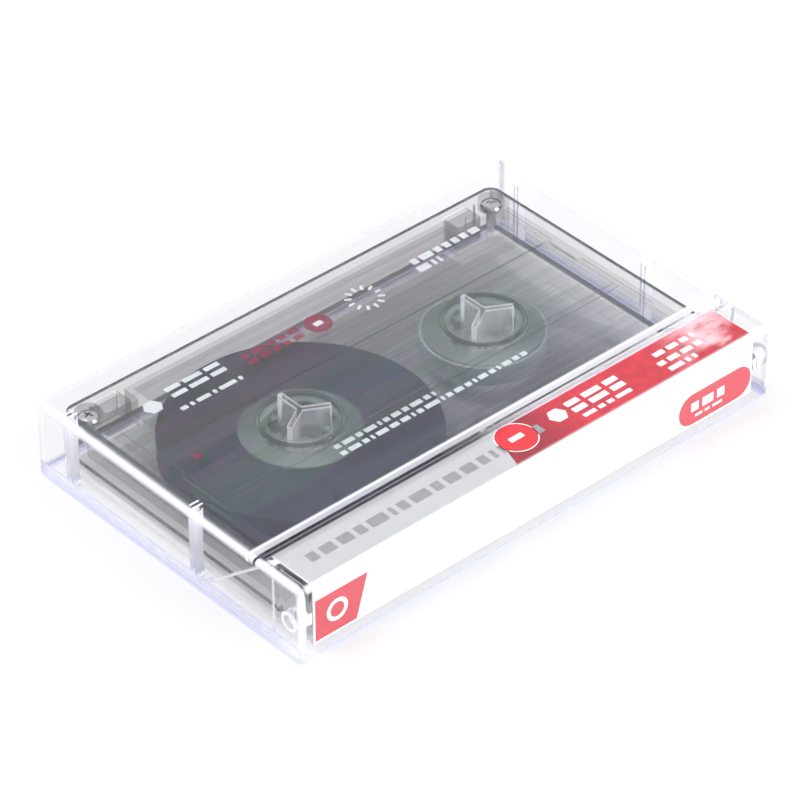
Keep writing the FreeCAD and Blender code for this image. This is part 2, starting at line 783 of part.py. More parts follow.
# The few turns of clear leader on the take-up hub.
def build_leader_turns():
    body = new_body("leader_turns")
    ring = new_sketch(body, "ring", "XY_Plane", "-tape_width / 2")
    circle(ring, "0", "0", "hub_radius")
    circle(ring, "0", "0", LEADER_RADIUS)
    pad(ring, "tape_width")
    place_in_cassette(body, HUB_X)


# Guide roller, turning on a fixed steel axle in each front corner.
def build_guide(side_name, side):
    body = new_body(f"guide_roller_{side_name}")
    section = new_sketch(body, "section", "XZ_Plane")
    rectangle(section, "axle_radius + axle_clearance", "-roller_half", "roller_radius", "roller_half")
    revolve(section)
    place_on_path(body, f"{side}{ROLLER_X}", "0")
    half = f"({INNER} + axle_socket)"
    pin = new_cylinder(f"guide_pin_{side_name}", "axle_radius", f"2 * {half}")
    pin.Label = f"guide_pin_{side_name}"
    place_on_path(pin, f"{side}{ROLLER_X}", f"-{half}")
    pieces.append(pin)


def place_on_path(thing, x, z):
    set_place(thing, x, f"{HUB_ROW} + {ROLLER_Y}", f"{CASSETTE_MIDDLE} + {z}")


# Tape between the reels: straight runs joined by its turns round the two rollers.
def build_tape_run():
    hub_x = value(HUB_X)
    roller = FreeCAD.Vector(value(ROLLER_X), value(ROLLER_Y), 0)
    inner = value("roller_radius + tape_gap")
    supply = outer_tangent(FreeCAD.Vector(hub_x, 0, 0), value(f"{PACK_RADIUS} + tape_gap"), roller, inner)
    take_up = outer_tangent(FreeCAD.Vector(hub_x, 0, 0), value(LEADER_RADIUS) + value("tape_gap"), roller, inner)
    solids = []
    for mirrored, (start, end, outward) in ((True, supply), (False, take_up)):
        solids += half_run(start, end, outward, roller, inner, mirrored)
    run = solids[0].multiFuse(solids[1:]).removeSplitter()
    tape = doc.addObject("Part::Feature", "tape_run")
    tape.Label = "tape_run"
    tape.Shape = run
    place_in_cassette(tape)
    pieces.append(tape)


def outer_tangent(hub, hub_radius, roller, roller_radius):
    """The outer tangent of hub and roller on the right-hand side: its two ends and its outward direction."""
    across = roller - hub
    angle = math.atan2(across.y, across.x) + math.acos((hub_radius - roller_radius) / across.Length)
    outward = FreeCAD.Vector(math.cos(angle), math.sin(angle), 0)
    return hub + outward * hub_radius, roller + outward * roller_radius, outward


def half_run(start, end, outward, roller, inner, mirrored):
    """The tape on one side: from the reel, round the roller and along the front to the middle."""
    thickness = value("tape_thickness")
    width = value("tape_width")
    front = FreeCAD.Vector(0, -1, 0)
    middle = FreeCAD.Vector(0, roller.y - inner, 0)
    turn_end = roller + front * inner
    half_way = (outward + front).normalize()
    reel_side = band([start, end], outward * thickness)
    front_side = band([turn_end, middle], front * thickness)
    arcs = []
    for radius in (inner, inner + thickness):
        points = [roller + direction * radius for direction in (outward, half_way, front)]
        arcs.append(Part.Arc(*points).toShape())
    ends = [Part.makeLine(arcs[0].Vertexes[number].Point, arcs[1].Vertexes[number].Point) for number in (0, 1)]
    bend = Part.Face(Part.Wire(Part.__sortEdges__(arcs + ends)))
    solids = []
    for face in (reel_side, bend, front_side):
        face.translate(FreeCAD.Vector(0, 0, -width / 2))
        solid = face.extrude(FreeCAD.Vector(0, 0, width))
        solids.append(solid.mirror(FreeCAD.Vector(), FreeCAD.Vector(1, 0, 0)) if mirrored else solid)
    return solids


def band(line, offset):
    corners = [line[0], line[1], line[1] + offset, line[0] + offset, line[0]]
    return Part.Face(Part.makePolygon(corners))


# Pressure pad: a felt block on the crown of the bowed spring.
def build_pressure_pad():
    body = new_body("pressure_pad")
    felt = new_sketch(body, "felt", "XY_Plane", "-pad_half_height")
    rectangle(felt, "-pad_length / 2", PAD_FRONT, "pad_length / 2", PAD_BACK)
    pad(felt, "2 * pad_half_height")
    place_in_cassette(body)


# Leaf spring: flat feet in the holders' slots and a crown that carries the pad.
def build_pressure_spring():
    body = new_body("pressure_spring")
    leaf = new_sketch(body, "leaf", "XY_Plane", "-spring_half_height")
    end = "(holder_start + spring_slot)"
    front_half = [(end, SPRING_FRONT), ("spring_foot", SPRING_FRONT), ("spring_crown", PAD_BACK)]
    back_half = [("spring_crown", f"{PAD_BACK} + spring_thickness"), ("spring_foot", SPRING_BACK), (end, SPRING_BACK)]
    mirrored_back = [(f"-{x}", y) for x, y in reversed(back_half)]
    mirrored_front = [(f"-{x}", y) for x, y in reversed(front_half)]
    outline(leaf, front_half + mirrored_front + mirrored_back + back_half)
    pad(leaf, "2 * spring_half_height")
    place_in_cassette(body)


# Magnetic shield: a plate in the holders' slots, with its long edges bent back.
def build_shield():
    body = new_body("magnetic_shield")
    plate = new_sketch(body, "plate", "XY_Plane", "-shield_half_height")
    end = "(holder_start + shield_slot)"
    rectangle(plate, f"-{end}", SHIELD_FRONT, end, SHIELD_BACK)
    pad(plate, "2 * shield_half_height")
    lip_end = "(holder_start - shield_lip_inset)"
    for name, low in (("lower_lip", "-shield_half_height"), ("upper_lip", "shield_half_height - shield_thickness")):
        lip = new_sketch(body, name, "XY_Plane", low)
        rectangle(lip, f"-{lip_end}", SHIELD_FRONT, lip_end, f"{SHIELD_BACK} + shield_lip")
        pad(lip, "shield_thickness")
    place_in_cassette(body)


def check_document():
    doc.recompute()
    for thing in doc.Objects:
        if "Invalid" in thing.State or "Error" in thing.State:
            raise RuntimeError(f"{thing.Name} failed: {thing.State}")
    for piece in pieces:
        if piece.Shape.isNull() or not piece.Shape.isValid():
            raise RuntimeError(f"{piece.Label} has no valid shape")


def write_pieces():
    os.makedirs("parts", exist_ok=True)
    for piece in pieces:
        piece.Shape.exportStep(f"parts/{piece.Label}.step")
        print(f"{piece.Label}: {len(piece.Shape.Solids)} solid, {piece.Shape.Volume:.1f} mm3")


fill_sheet()
build_holder()
build_lid()
build_card()
build_shell("shell_upper", upper=True)
build_shell("shell_lower", upper=False)
build_slip_sheet("slip_sheet_upper", f"{INNER} - sheet_thickness")
build_slip_sheet("slip_sheet_lower", f"-{INNER}")
build_hub("supply_hub", f"-{HUB_X}")
build_hub("take_up_hub", HUB_X)
build_clamp("supply_hub_clamp", f"-{HUB_X}")
build_clamp("take_up_hub_clamp", HUB_X)
build_tape_pack()
build_leader_turns()
build_guide("left", "-")
build_guide("right", "")
build_tape_run()
build_pressure_pad()
build_pressure_spring()
build_shield()
check_document()
write_pieces()
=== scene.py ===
import logging
import math
from dataclasses import dataclass
from enum import Enum
from typing import Any, Callable, Iterable, Sequence, Union

import bmesh
import bpy
from mathutils import Matrix, Vector


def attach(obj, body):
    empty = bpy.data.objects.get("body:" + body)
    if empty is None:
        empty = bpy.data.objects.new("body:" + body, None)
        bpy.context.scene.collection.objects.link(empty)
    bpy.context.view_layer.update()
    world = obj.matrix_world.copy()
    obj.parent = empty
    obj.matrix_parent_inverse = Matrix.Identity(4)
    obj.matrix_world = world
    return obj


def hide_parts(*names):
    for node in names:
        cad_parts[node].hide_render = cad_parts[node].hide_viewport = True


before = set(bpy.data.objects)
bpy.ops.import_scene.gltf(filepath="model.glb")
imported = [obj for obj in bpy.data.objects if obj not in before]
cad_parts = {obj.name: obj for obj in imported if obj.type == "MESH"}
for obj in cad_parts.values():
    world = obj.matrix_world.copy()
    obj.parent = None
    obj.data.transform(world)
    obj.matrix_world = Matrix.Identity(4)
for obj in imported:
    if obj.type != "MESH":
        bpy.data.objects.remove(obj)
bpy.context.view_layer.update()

log = logging.getLogger("cassette")

MM = 0.001
Colour = tuple[float, float, float]
Point = tuple[float, float]
Number = Union[int, float]

# Levels and lines of the CAD model that the dressing is set against, in millimetres.
HUB_X = 21.25
HUB_Y = 3.6
MIDDLE_Z = 7.8
FACE_Z = 12.15
HEAD_Z = 13.8
WINDOW_Z = 11.9
HINGE_Y = -31.9
ROOF_Z = 14.4
RIB_ROWS = (-5.75, 27.35)


class Body(Enum):
    """The CAD bodies that dressed pieces ride on."""

    BASE = "case_base"
    LID = "lid"
    SUPPLY = "supply_reel"
    TAKE_UP = "take_up_reel"
    LEFT_ROLLER = "roller_left"
    RIGHT_ROLLER = "roller_right"
    PAD = "pad"


class Value:
    """A socket's output that adds Math nodes when it is used in an expression."""

    def __init__(self, tree: "Tree", socket: bpy.types.NodeSocket) -> None:
        """Wraps a socket of a tree.

        Args:
            tree: The material's node tree.
            socket: The output socket.
        """
        self.tree = tree
        self.socket = socket

    def _math(self, operation: str, *terms: Union["Value", Number]) -> "Value":
        """Adds one Math node.

        Args:
            operation: The node's operation.
            terms: Values or numbers for its inputs, in order.

        Returns:
            The node's output.
        """
        return self.tree.out("ShaderNodeMath", {"operation": operation}, dict(enumerate(terms)))

    def __add__(self, other: Union["Value", Number]) -> "Value":
        """Adds two values."""
        return self._math("ADD", self, other)

    def __radd__(self, other: Number) -> "Value":
        """Adds a value to a number."""
        return self._math("ADD", other, self)

    def __sub__(self, other: Union["Value", Number]) -> "Value":
        """Subtracts from the value."""
        return self._math("SUBTRACT", self, other)

    def __rsub__(self, other: Number) -> "Value":
        """Subtracts the value from a number."""
        return self._math("SUBTRACT", other, self)

    def __mul__(self, other: Union["Value", Number]) -> "Value":
        """Multiplies two values."""
        return self._math("MULTIPLY", self, other)

    def __rmul__(self, other: Number) -> "Value":
        """Multiplies a number by the value."""
        return self._math("MULTIPLY", other, self)

    def __truediv__(self, other: Union["Value", Number]) -> "Value":
        """Divides the value."""
        return self._math("DIVIDE", self, other)

    def __abs__(self) -> "Value":
        """The value without its sign."""
        return self._math("ABSOLUTE", self)

    def root(self) -> "Value":
        """The square root."""
        return self._math("SQRT", self)

    def least(self, other: Union["Value", Number]) -> "Value":
        """The smaller of two values."""
        return self._math("MINIMUM", self, other)

    def most(self, other: Union["Value", Number]) -> "Value":
        """The larger of two values."""
        return self._math("MAXIMUM", self, other)

    def ramp(self, low: float, high: float, to_low: float = 0.0, to_high: float = 1.0) -> "Value":
        """Maps a range smoothly onto another, clamped.

        Args:
            low: The value that gives to_low.
            high: The value that gives to_high.
            to_low: The result at low.
            to_high: The result at high.

        Returns:
            The mapped value.
        """
        settings = {"interpolation_type": "SMOOTHSTEP"}
        inputs = {0: self, 1: low, 2: high, 3: to_low, 4: to_high}
        return self.tree.out("ShaderNodeMapRange", settings, inputs)


Shade = Union[Value, Sequence[float], Number]


class Tree:
    """A material and the node tree that is built in it."""

    def __init__(self, name: str) -> None:
        """Makes an empty node material.

        Args:
            name: The material's name.
        """
        self.material = bpy.data.materials.new(name)
        self.material.use_nodes = True
        self.nodes = self.material.node_tree.nodes
        self.links = self.material.node_tree.links
        self.nodes.clear()
        self._axes: tuple[Value, Value, Value] | None = None

    def add(self, kind: str, settings: dict[str, Any] | None = None,
            inputs: dict[Union[int, str], Any] | None = None) -> bpy.types.Node:
        """Adds one node.

        Args:
            kind: The node's type.
            settings: Its properties, set before its inputs; "stops" are a colour ramp's.
            inputs: Numbers, colours or values for its sockets, by name or number.

        Returns:
            The node.
        """
        node = self.nodes.new(kind)
        for name, setting in (settings or {}).items():
            if name == "stops":
                self._set_stops(node, setting)
            else:
                setattr(node, name, setting)
        for name, given in (inputs or {}).items():
            if isinstance(given, Value):
                self.links.new(given.socket, node.inputs[name])
            else:
                node.inputs[name].default_value = given
        return node

    @staticmethod
    def _set_stops(node: bpy.types.Node, stops: Sequence[tuple[float, Colour]]) -> None:
        """Fills a colour ramp.

        Args:
            node: The Color Ramp node.
            stops: Each stop's position and colour.
        """
        elements = node.color_ramp.elements
        while len(elements) < len(stops):
            elements.new(0.5)
        for element, (position, colour) in zip(elements, stops):
            element.position = position
            element.color = (*colour, 1.0)

    def out(self, kind: str, settings: dict[str, Any] | None = None,
            inputs: dict[Union[int, str], Any] | None = None, output: Union[int, str] = 0) -> Value:
        """Adds one node and gives one of its outputs.

        Args:
            kind: The node's type.
            settings: Its properties.
            inputs: Its sockets' numbers, colours or values.
            output: The output's number or name.

        Returns:
            That output.
        """
        return Value(self, self.add(kind, settings, inputs).outputs[output])

    def place(self) -> Value:
        """The point on the piece, in metres in the row frame."""
        return self.out("ShaderNodeTexCoord", output="Object")

    def axes(self) -> tuple[Value, Value, Value]:
        """The point on the piece as three values in millimetres, split once for each material.

        Returns:
            X, Y and Z.
        """
        if self._axes is None:
            split = self.add("ShaderNodeSeparateXYZ", inputs={0: self.place()})
            x, y, z = (Value(self, output) / MM for output in split.outputs)
            self._axes = (x, y, z)
        return self._axes

    def distance(self, first: Value, second: Value) -> Value:
        """The length of two offsets that stand square to each other."""
        return (first * first + second * second).root()

    def stretched(self, scale: Sequence[float]) -> Value:
        """The point with each axis scaled, for textures that run one way.

        Args:
            scale: The factor of each axis, in repeats per millimetre.

        Returns:
            The scaled vector.
        """
        factors = tuple(part / MM for part in scale)
        return self.out("ShaderNodeVectorMath", {"operation": "MULTIPLY"}, {0: self.place(), 1: factors})

    def noise(self, scale: Sequence[float], detail: float = 2.0, roughness: float = 0.5,
              seed: float = 0.0) -> Value:
        """Soft noise between 0 and 1.

        Args:
            scale: Repeats per millimetre along each axis.
            detail: The number of finer layers.
            roughness: How strong the finer layers are.
            seed: Another pattern for another number.

        Returns:
            The noise.
        """
        settings = {"noise_dimensions": "4D"}
        inputs = {"Vector": self.stretched(scale), "W": seed, "Scale": 1.0, "Detail": detail, "Roughness": roughness}
        return self.out("ShaderNodeTexNoise", settings, inputs)

    def blend(self, factor: Shade, first: Shade, second: Shade) -> Value:
        """Mixes two colours.

        Args:
            factor: 0 gives the first and 1 the second.
            first: A colour or value.
            second: A colour or value.

        Returns:
            The mixed colour.
        """
        inputs = {0: factor, 6: colour4(first), 7: colour4(second)}
        return self.out("ShaderNodeMix", {"data_type": "RGBA"}, inputs, 2)

    def bump(self, height: Value, depth: float, strength: float = 1.0) -> Value:
        """Turns a height into a normal.

        Args:
            height: The height, 0 to 1.
            depth: The depth of a full step in millimetres.
            strength: The share of it that shows.

        Returns:
            The normal.
        """
        return self.out("ShaderNodeBump", inputs={"Height": height, "Distance": depth * MM, "Strength": strength})

    def shader(self, inputs: dict[str, Any]) -> Value:
        """A Principled shader.

        Args:
            inputs: Its sockets' numbers, colours or values.

        Returns:
            The shader's output.
        """
        full = {name: colour4(given) if "Color" in name or "Tint" in name else given for name, given in inputs.items()}
        return self.out("ShaderNodeBsdfPrincipled", inputs=full)

    def mixed(self, factor: Shade, first: Value, second: Value) -> Value:
        """Mixes two shaders.

        Args:
            factor: 0 gives the first and 1 the second.
            first: A shader.
            second: A shader.

        Returns:
            The mixed shader.
        """
        return self.out("ShaderNodeMixShader", inputs={0: factor, 1: first, 2: second})

    def finish(self, surface: Value) -> bpy.types.Material:
        """Sends a shader to the material's surface.

        Args:
            surface: The shader.

        Returns:
            The material.
        """
        self.add("ShaderNodeOutputMaterial", inputs={"Surface": surface})
        return self.material


def colour4(given: Shade) -> Any:
    """A colour with its fourth number, or the value as it is."""
    return given if isinstance(given, (Value, int, float)) else (*given[:3], 1.0)


@dataclass(frozen=True)
class ClearMoulding:
    """Polished clear polystyrene of the case, with painted highlights along its edges and painted shade lines, and
    open to lamps.
    """

    name: str = "clear_case"
    tint: Colour = (0.985, 0.985, 0.99)
    # The colour of the painted highlights along the edges, ribs and pegs.
    glow: Colour = (0.93, 0.93, 1.0)
    index: float = 1.04
    lamp_share: float = 0.95
    strip_y: float = -23.3

    def outer_lines(self, tree: Tree) -> Value:
        """The painted highlight along the moulded edges of the box, where two of its sides meet.

        Args:
            tree: The material's tree.

        Returns:
            0 to 1.
        """
        x, y, z = tree.axes()
        near_x = abs(x).ramp(52.9, 54.1)
        near_y = abs(y).ramp(33.3, 34.5)
        near_z = abs(z - MIDDLE_Z).ramp(6.2, 7.6)
        return near_x.least(near_y).most(near_x.least(near_z)).most(near_y.least(near_z))

    def roof_lines(self, tree: Tree) -> Value:
        """The painted highlight along the lid panel's front edge and the top strip's back edge.

        Args:
            tree: The material's tree.

        Returns:
            0 to 1.
        """
        _, y, z = tree.axes()
        roof = z.ramp(ROOF_Z - 0.2, ROOF_Z + 0.1)
        lid_front = (1.0 - abs(y + 21.5).ramp(0.1, 0.75)) * roof
        return lid_front.most((1.0 - abs(y - self.strip_y).ramp(0.1, 0.5)) * roof * 0.5)

    def pegs(self, tree: Tree) -> Value:
        """The painted highlight on the three-winged pegs: bright along their roots and outer ends, and clear between.

        Args:
            tree: The material's tree.

        Returns:
            0 to 0.7.
        """
        x, y, z = tree.axes()
        across = abs(x) - HUB_X
        squared = across * across + (y - HUB_Y) * (y - HUB_Y)
        root = z.ramp(13.6, 14.1) * 0.45
        tips = squared.ramp(27.0, 30.0) * z.ramp(6.0, 10.0) * 0.55
        below_roof = 1.0 - z.ramp(ROOF_Z - 0.15, ROOF_Z - 0.02)
        return (1.0 - squared.ramp(33.0, 36.0)) * below_roof * (root.most(tips) + 0.14)

    def wall_lines(self, tree: Tree) -> Value:
        """The painted highlight along the ribs, the cheeks' sloping edges and ribs, and the hinge's ring on the end
        walls.

        Args:
            tree: The material's tree.

        Returns:
            0 to 0.95.
        """
        x, y, z = tree.axes()
        wall = abs(x).ramp(51.0, 51.3)
        inner = wall * (1.0 - abs(x).ramp(53.1, 53.3))
        front, back = (abs(abs(y - row) - 0.5) for row in RIB_ROWS)
        ribs = (1.0 - front.least(back).ramp(0.1, 0.3)) * inner
        slope = abs((y + 10.25) * 0.846 + (z - 2.5))
        cheek = (1.0 - slope.ramp(0.25, 0.5)).most(1.0 - abs(y + 26.4).ramp(0.15, 0.35))
        cheek = cheek * inner * abs(x).ramp(51.5, 51.7)
        pivot = (1.0 - abs(self.from_pivot(tree) - 1.65).ramp(0.25, 0.5)) * wall
        return (ribs * 0.95).most(cheek * 0.9).most(pivot * 0.95)

    def edges(self, tree: Tree) -> Value:
        """The share of painted highlight along the case's edges, rims and pegs.

        Args:
            tree: The material's tree.

        Returns:
            0 on the open panels to 1 on the brightest lines.
        """
        x, _, z = tree.axes()
        # Painted highlight along the low rims of the end walls.
        low_rim = abs(x).ramp(52.9, 53.3) * (1.0 - abs(z - 1.75).ramp(0.1, 0.5))
        return ((self.outer_lines(tree) * 0.95).most(self.roof_lines(tree)).most(low_rim * 0.6)
                .most(self.pegs(tree)).most(self.wall_lines(tree)))

    @staticmethod
    def from_pivot(tree: Tree) -> Value:
        """The distance from the hinge's axis, in millimetres."""
        _, y, z = tree.axes()
        return tree.distance(y - HINGE_Y, z - MIDDLE_Z)

    def painted_shade_lines(self, tree: Tree) -> Value:
        """A dark line of painted shade along the strip's back edge over the left half, and painted shade at the
        hinge's core.

        Args:
            tree: The material's tree.

        Returns:
            0 to 1.
        """
        x, y, z = tree.axes()
        roof = z.ramp(ROOF_Z - 0.2, ROOF_Z + 0.1)
        line = (1.0 - abs(y - self.strip_y - 0.05).ramp(0.15, 0.4)) * roof * (1.0 - x.ramp(-8.0, 12.0))
        core = (1.0 - self.from_pivot(tree).ramp(0.5, 0.9)) * abs(x).ramp(51.0, 51.3) * 0.6
        return line.most(core)

    def material(self) -> bpy.types.Material:
        """Builds the finish.

        Returns:
            The material.
        """
        tree = Tree(self.name)
        flow = tree.noise((0.03, 0.05, 0.05), 1.0)
        scuffs = tree.noise((0.9, 0.12, 0.5), 3.0, 0.6, 2.0).ramp(0.62, 0.8)
        normal = tree.bump(flow, 0.05, 0.35)
        glass = tree.shader({
            "Base Color": self.tint, "Roughness": scuffs * 0.03 + 0.01, "IOR": self.index, "Transmission Weight": 1.0,
            "Coat Weight": 0.4, "Coat IOR": 1.5, "Coat Roughness": 0.02, "Normal": normal,
        })
        # Painted shade lines, mixed into the highlight tone as near black.
        painted_shade_lines = self.painted_shade_lines(tree)
        _, _, z = tree.axes()
        # Tone of the painted highlight: bluer and dimmer towards the bottom, and near black on the painted shade
        # lines.
        tone = tree.blend(z.ramp(0.0, 4.0), (0.76, 0.78, 1.0), self.glow)
        tone = tree.blend(painted_shade_lines, tone, (0.02, 0.022, 0.03))
        # The painted highlight: a pale shader mixed in along the edges in place of the brightness that refraction
        # gives.
        painted_highlight = tree.shader({"Base Color": tone, "Roughness": scuffs * 0.1 + 0.12, "Normal": normal})
        body = tree.mixed(self.edges(tree).most(painted_shade_lines * 0.9), glass, painted_highlight)
        clear = tree.out("ShaderNodeBsdfTransparent", inputs={"Color": (self.lamp_share,) * 3 + (1.0,)})
        lamps = tree.out("ShaderNodeLightPath", output="Is Shadow Ray")
        return tree.finish(tree.mixed(lamps, body, clear))


@dataclass(frozen=True)
class SmokyMoulding:
    """Smoke-tinted clear polystyrene of the cassette shell, with painted shade on its upright walls and in dark lines
    along its edges, window and hub holes.
    """

    name: str = "smoky_shell"
    body: Colour = (0.10, 0.125, 0.11)
    # The colour of the painted shade on upright walls and along the outline lines.
    edge: Colour = (0.03, 0.04, 0.05)
    cover: float = 0.08
    edge_cover: float = 0.17
    pocket_cover: float = 0.42

    def window_lines(self, tree: Tree) -> Value:
        """Thin dark lines of painted shade along the window recess, and along the step inside the end walls.

        Args:
            tree: The material's tree.

        Returns:
            0 to 1.
        """
        x, y, _ = tree.axes()
        inside = 1.0 - abs(x).ramp(45.3, 45.6)
        across = abs(y + 5.4).least(abs(y + 3.9)).least(abs(y - 13.1))
        step = y.ramp(4.9, 5.6, 0.0, -0.9) * (1.0 - y.ramp(12.4, 13.1))
        along = abs(abs(x) - 46.5 - step)
        reach = y.ramp(-13.5, -12.5) * (1.0 - y.ramp(25.0, 26.0))
        return ((1.0 - across.ramp(0.08, 0.22)) * inside).most((1.0 - along.ramp(0.08, 0.22)) * reach)

    def outlines(self, tree: Tree) -> Value:
        """Dark lines of painted shade along the shell's outer edges, in its window and round its hub holes.

        Args:
            tree: The material's tree.

        Returns:
            0 to 1.
        """
        x, y, z = tree.axes()
        end = abs(x).ramp(49.2, 49.7)
        back = y.ramp(31.8, 32.3)
        top = abs(z - MIDDLE_Z).ramp(3.5, 3.95)
        outer = end.least(back).most(end.least(top)).most(back.least(top))
        radius = tree.distance(abs(x) - HUB_X, y - HUB_Y)
        circles = 1.0 - abs(radius - 7.1).least(abs(radius - 7.75)).ramp(0.1, 0.25)
        face = z.ramp(WINDOW_Z - 0.3, WINDOW_Z - 0.1)
        return outer.most(self.window_lines(tree).most(circles) * face * 0.6)

    def material(self) -> bpy.types.Material:
        """Builds the finish.

        Returns:
            The material.
        """
        tree = Tree(self.name)
        normal = tree.add("ShaderNodeNewGeometry").outputs["True Normal"]
        tilt = tree.add("ShaderNodeSeparateXYZ", inputs={0: Value(tree, normal)}).outputs[2]
        # Upright walls get painted shade: a darker colour and more cover than the flat faces.
        upright = 1.0 - abs(Value(tree, tilt)).ramp(0.5, 0.9)
        cloud = tree.noise((0.05, 0.09, 0.09), 2.0, 0.5, 5.0)
        drag = tree.noise((0.02, 0.8, 0.8), 2.0, 0.6, 1.0)
        outlines = self.outlines(tree)
        # Where the painted shade goes: upright walls and the outline lines.
        dark = upright.most(outlines)
        tone = tree.blend(dark, tree.blend(cloud.ramp(0.35, 0.65), self.body, (0.14, 0.16, 0.155)), self.edge)
        x, y, _ = tree.axes()
        pocket = abs(x).ramp(36.5, 37.5) * y.ramp(27.5, 28.2) * (1.0 - y.ramp(32.2, 32.5)) * self.pocket_cover
        cover = (cloud * 0.05 + (self.cover - 0.025)).most(upright * pocket.most(self.edge_cover))
        cover = cover.most(outlines * 0.85)
        surface = tree.shader({
            "Base Color": tone, "Roughness": drag * 0.06 + 0.03, "Alpha": cover, "Coat Weight": 1.0,
            "Coat Roughness": 0.04, "Normal": tree.bump(drag, 0.01, 0.4),
        })
        return tree.finish(surface)


@dataclass(frozen=True)
class LinerFilm:
    """Grey translucent slip sheet, streaked along its drawn direction, with a painted purple and teal sheen in the
    streaks, thinning out to the right end.
    """

    name: str = "slip_sheet"
    cover: float = 0.13

    def material(self) -> bpy.types.Material:
        """Builds the finish.

        Returns:
            The material.
        """
        tree = Tree(self.name)
        x, y, _ = tree.axes()
        bands = tree.noise((0.005, 0.2, 0.05), 2.0, 0.6, 3.0).ramp(0.38, 0.62)
        fine = tree.noise((0.01, 1.1, 0.2), 3.0, 0.65, 7.0)
        across = bands * 0.5 + y.ramp(-18.0, 30.0, 0.0, 0.5)
        # Painted sheen: purple and teal colours along the streaks, shifting from front to back.
        hue = tree.out("ShaderNodeValToRGB", {"stops": [
            (0.05, (0.02, 0.05, 0.14)), (0.2, (0.1, 0.03, 0.15)), (0.32, (0.02, 0.1, 0.14)),
            (0.44, (0.06, 0.05, 0.13)), (0.56, (0.05, 0.12, 0.1)), (0.7, (0.07, 0.11, 0.09)),
            (0.85, (0.11, 0.06, 0.11)),
        ]}, {0: across})
        tone = tree.blend(fine.ramp(0.35, 0.7, 0.0, 0.3), hue, (0.16, 0.18, 0.2))
        cover = fine.ramp(0.3, 0.7, self.cover - 0.05, self.cover + 0.05) + bands * 0.07
        surface = tree.shader({
            "Base Color": tone, "Roughness": fine * 0.25 + 0.2,
            "Alpha": cover * x.ramp(40.5, 43.0, 1.0, 0.35),
            "Normal": tree.bump(fine, 0.03, 0.6),
        })
        return tree.finish(surface)


@dataclass(frozen=True)
class WoundTape:
    """Wound tape: near black, with fine rings and a faint purple and teal sheen; clear where the leader starts."""

    name: str = "magnetic_tape"
    centre_x: float = -HUB_X
    tone: Colour = (0.02, 0.018, 0.025)
    clear_from: float | None = None

    def material(self) -> bpy.types.Material:
        """Builds the finish.

        Returns:
            The material.
        """
        tree = Tree(self.name)
        x, y, _ = tree.axes()
        radius = tree.distance(x - self.centre_x, y - HUB_Y)
        rings = tree.out("ShaderNodeTexNoise", {"noise_dimensions": "1D"},
                         {"W": radius, "Scale": 2.2, "Detail": 5.0, "Roughness": 0.7})
        wide = tree.out("ShaderNodeTexNoise", {"noise_dimensions": "1D"},
                        {"W": radius, "Scale": 0.35, "Detail": 2.0, "Roughness": 0.5})
        streak = tree.noise((0.008, 0.15, 0.1), 2.0, 0.5, 11.0).ramp(0.38, 0.62)
        sheen = tree.out("ShaderNodeValToRGB", {"stops": [
            (0.1, self.tone), (0.3, (0.09, 0.03, 0.1)), (0.5, (0.01, 0.055, 0.075)), (0.7, (0.06, 0.03, 0.09)),
            (0.9, (0.008, 0.02, 0.035)),
        ]}, {0: streak * 0.75 + wide * 0.25})
        tone = tree.blend(rings.ramp(0.45, 0.75, 0.0, 0.25), sheen, (0.08, 0.08, 0.1))
        inputs = {"Base Color": tone, "Roughness": rings * 0.2 + 0.3, "Normal": tree.bump(rings, 0.04, 0.4)}
        if self.clear_from is not None:
            leader = x.ramp(self.clear_from, self.clear_from + 2.0)
            inputs["Base Color"] = tree.blend(leader, tone, (0.5, 0.54, 0.54))
            inputs["Alpha"] = leader.ramp(0.0, 1.0, 1.0, 0.12)
        return tree.finish(tree.shader(inputs))


@dataclass(frozen=True)
class MouldedPlastic:
    """Satin moulded plastic of the hubs and rollers."""

    name: str
    tone: Colour
    shade: Colour
    gloss: float = 0.35
    cover: float = 1.0
    bore_cover: float = 1.0

    def material(self) -> bpy.types.Material:
        """Builds the finish.

        Returns:
            The material.
        """
        tree = Tree(self.name)
        cloud = tree.noise((0.12, 0.12, 0.2), 3.0, 0.55, 4.0)
        grain = tree.noise((3.0, 3.0, 3.0), 3.0, 0.6, 9.0)
        cover: Shade = self.cover
        if self.bore_cover < self.cover:
            x, y, _ = tree.axes()
            radius = tree.distance(abs(x) - HUB_X, y - HUB_Y)
            cover = radius.ramp(6.9, 7.3, self.bore_cover, self.cover)
        surface = tree.shader({
            "Base Color": tree.blend(cloud.ramp(0.3, 0.7), self.tone, self.shade),
            "Roughness": grain * 0.15 + self.gloss - 0.07, "Alpha": cover,
            "Normal": tree.bump(grain, 0.01, 0.4),
        })
        return tree.finish(surface)


@dataclass(frozen=True)
class CardStock:
    """Coated white card with a faint fibre and a soft shine."""

    name: str = "printed_card"
    tone: Colour = (0.93, 0.935, 0.95)

    def material(self) -> bpy.types.Material:
        """Builds the finish.

        Returns:
            The material.
        """
        tree = Tree(self.name)
        fibre = tree.noise((1.2, 3.0, 2.0), 4.0, 0.6, 6.0)
        cloud = tree.noise((0.04, 0.1, 0.1), 2.0, 0.5, 8.0)
        tone = tree.blend(cloud.ramp(0.3, 0.7), self.tone, tuple(0.95 * part for part in self.tone))
        surface = tree.shader({
            "Base Color": tone, "Roughness": fibre * 0.15 + 0.3, "Normal": tree.bump(fibre, 0.01, 0.4),
        })
        return tree.finish(surface)


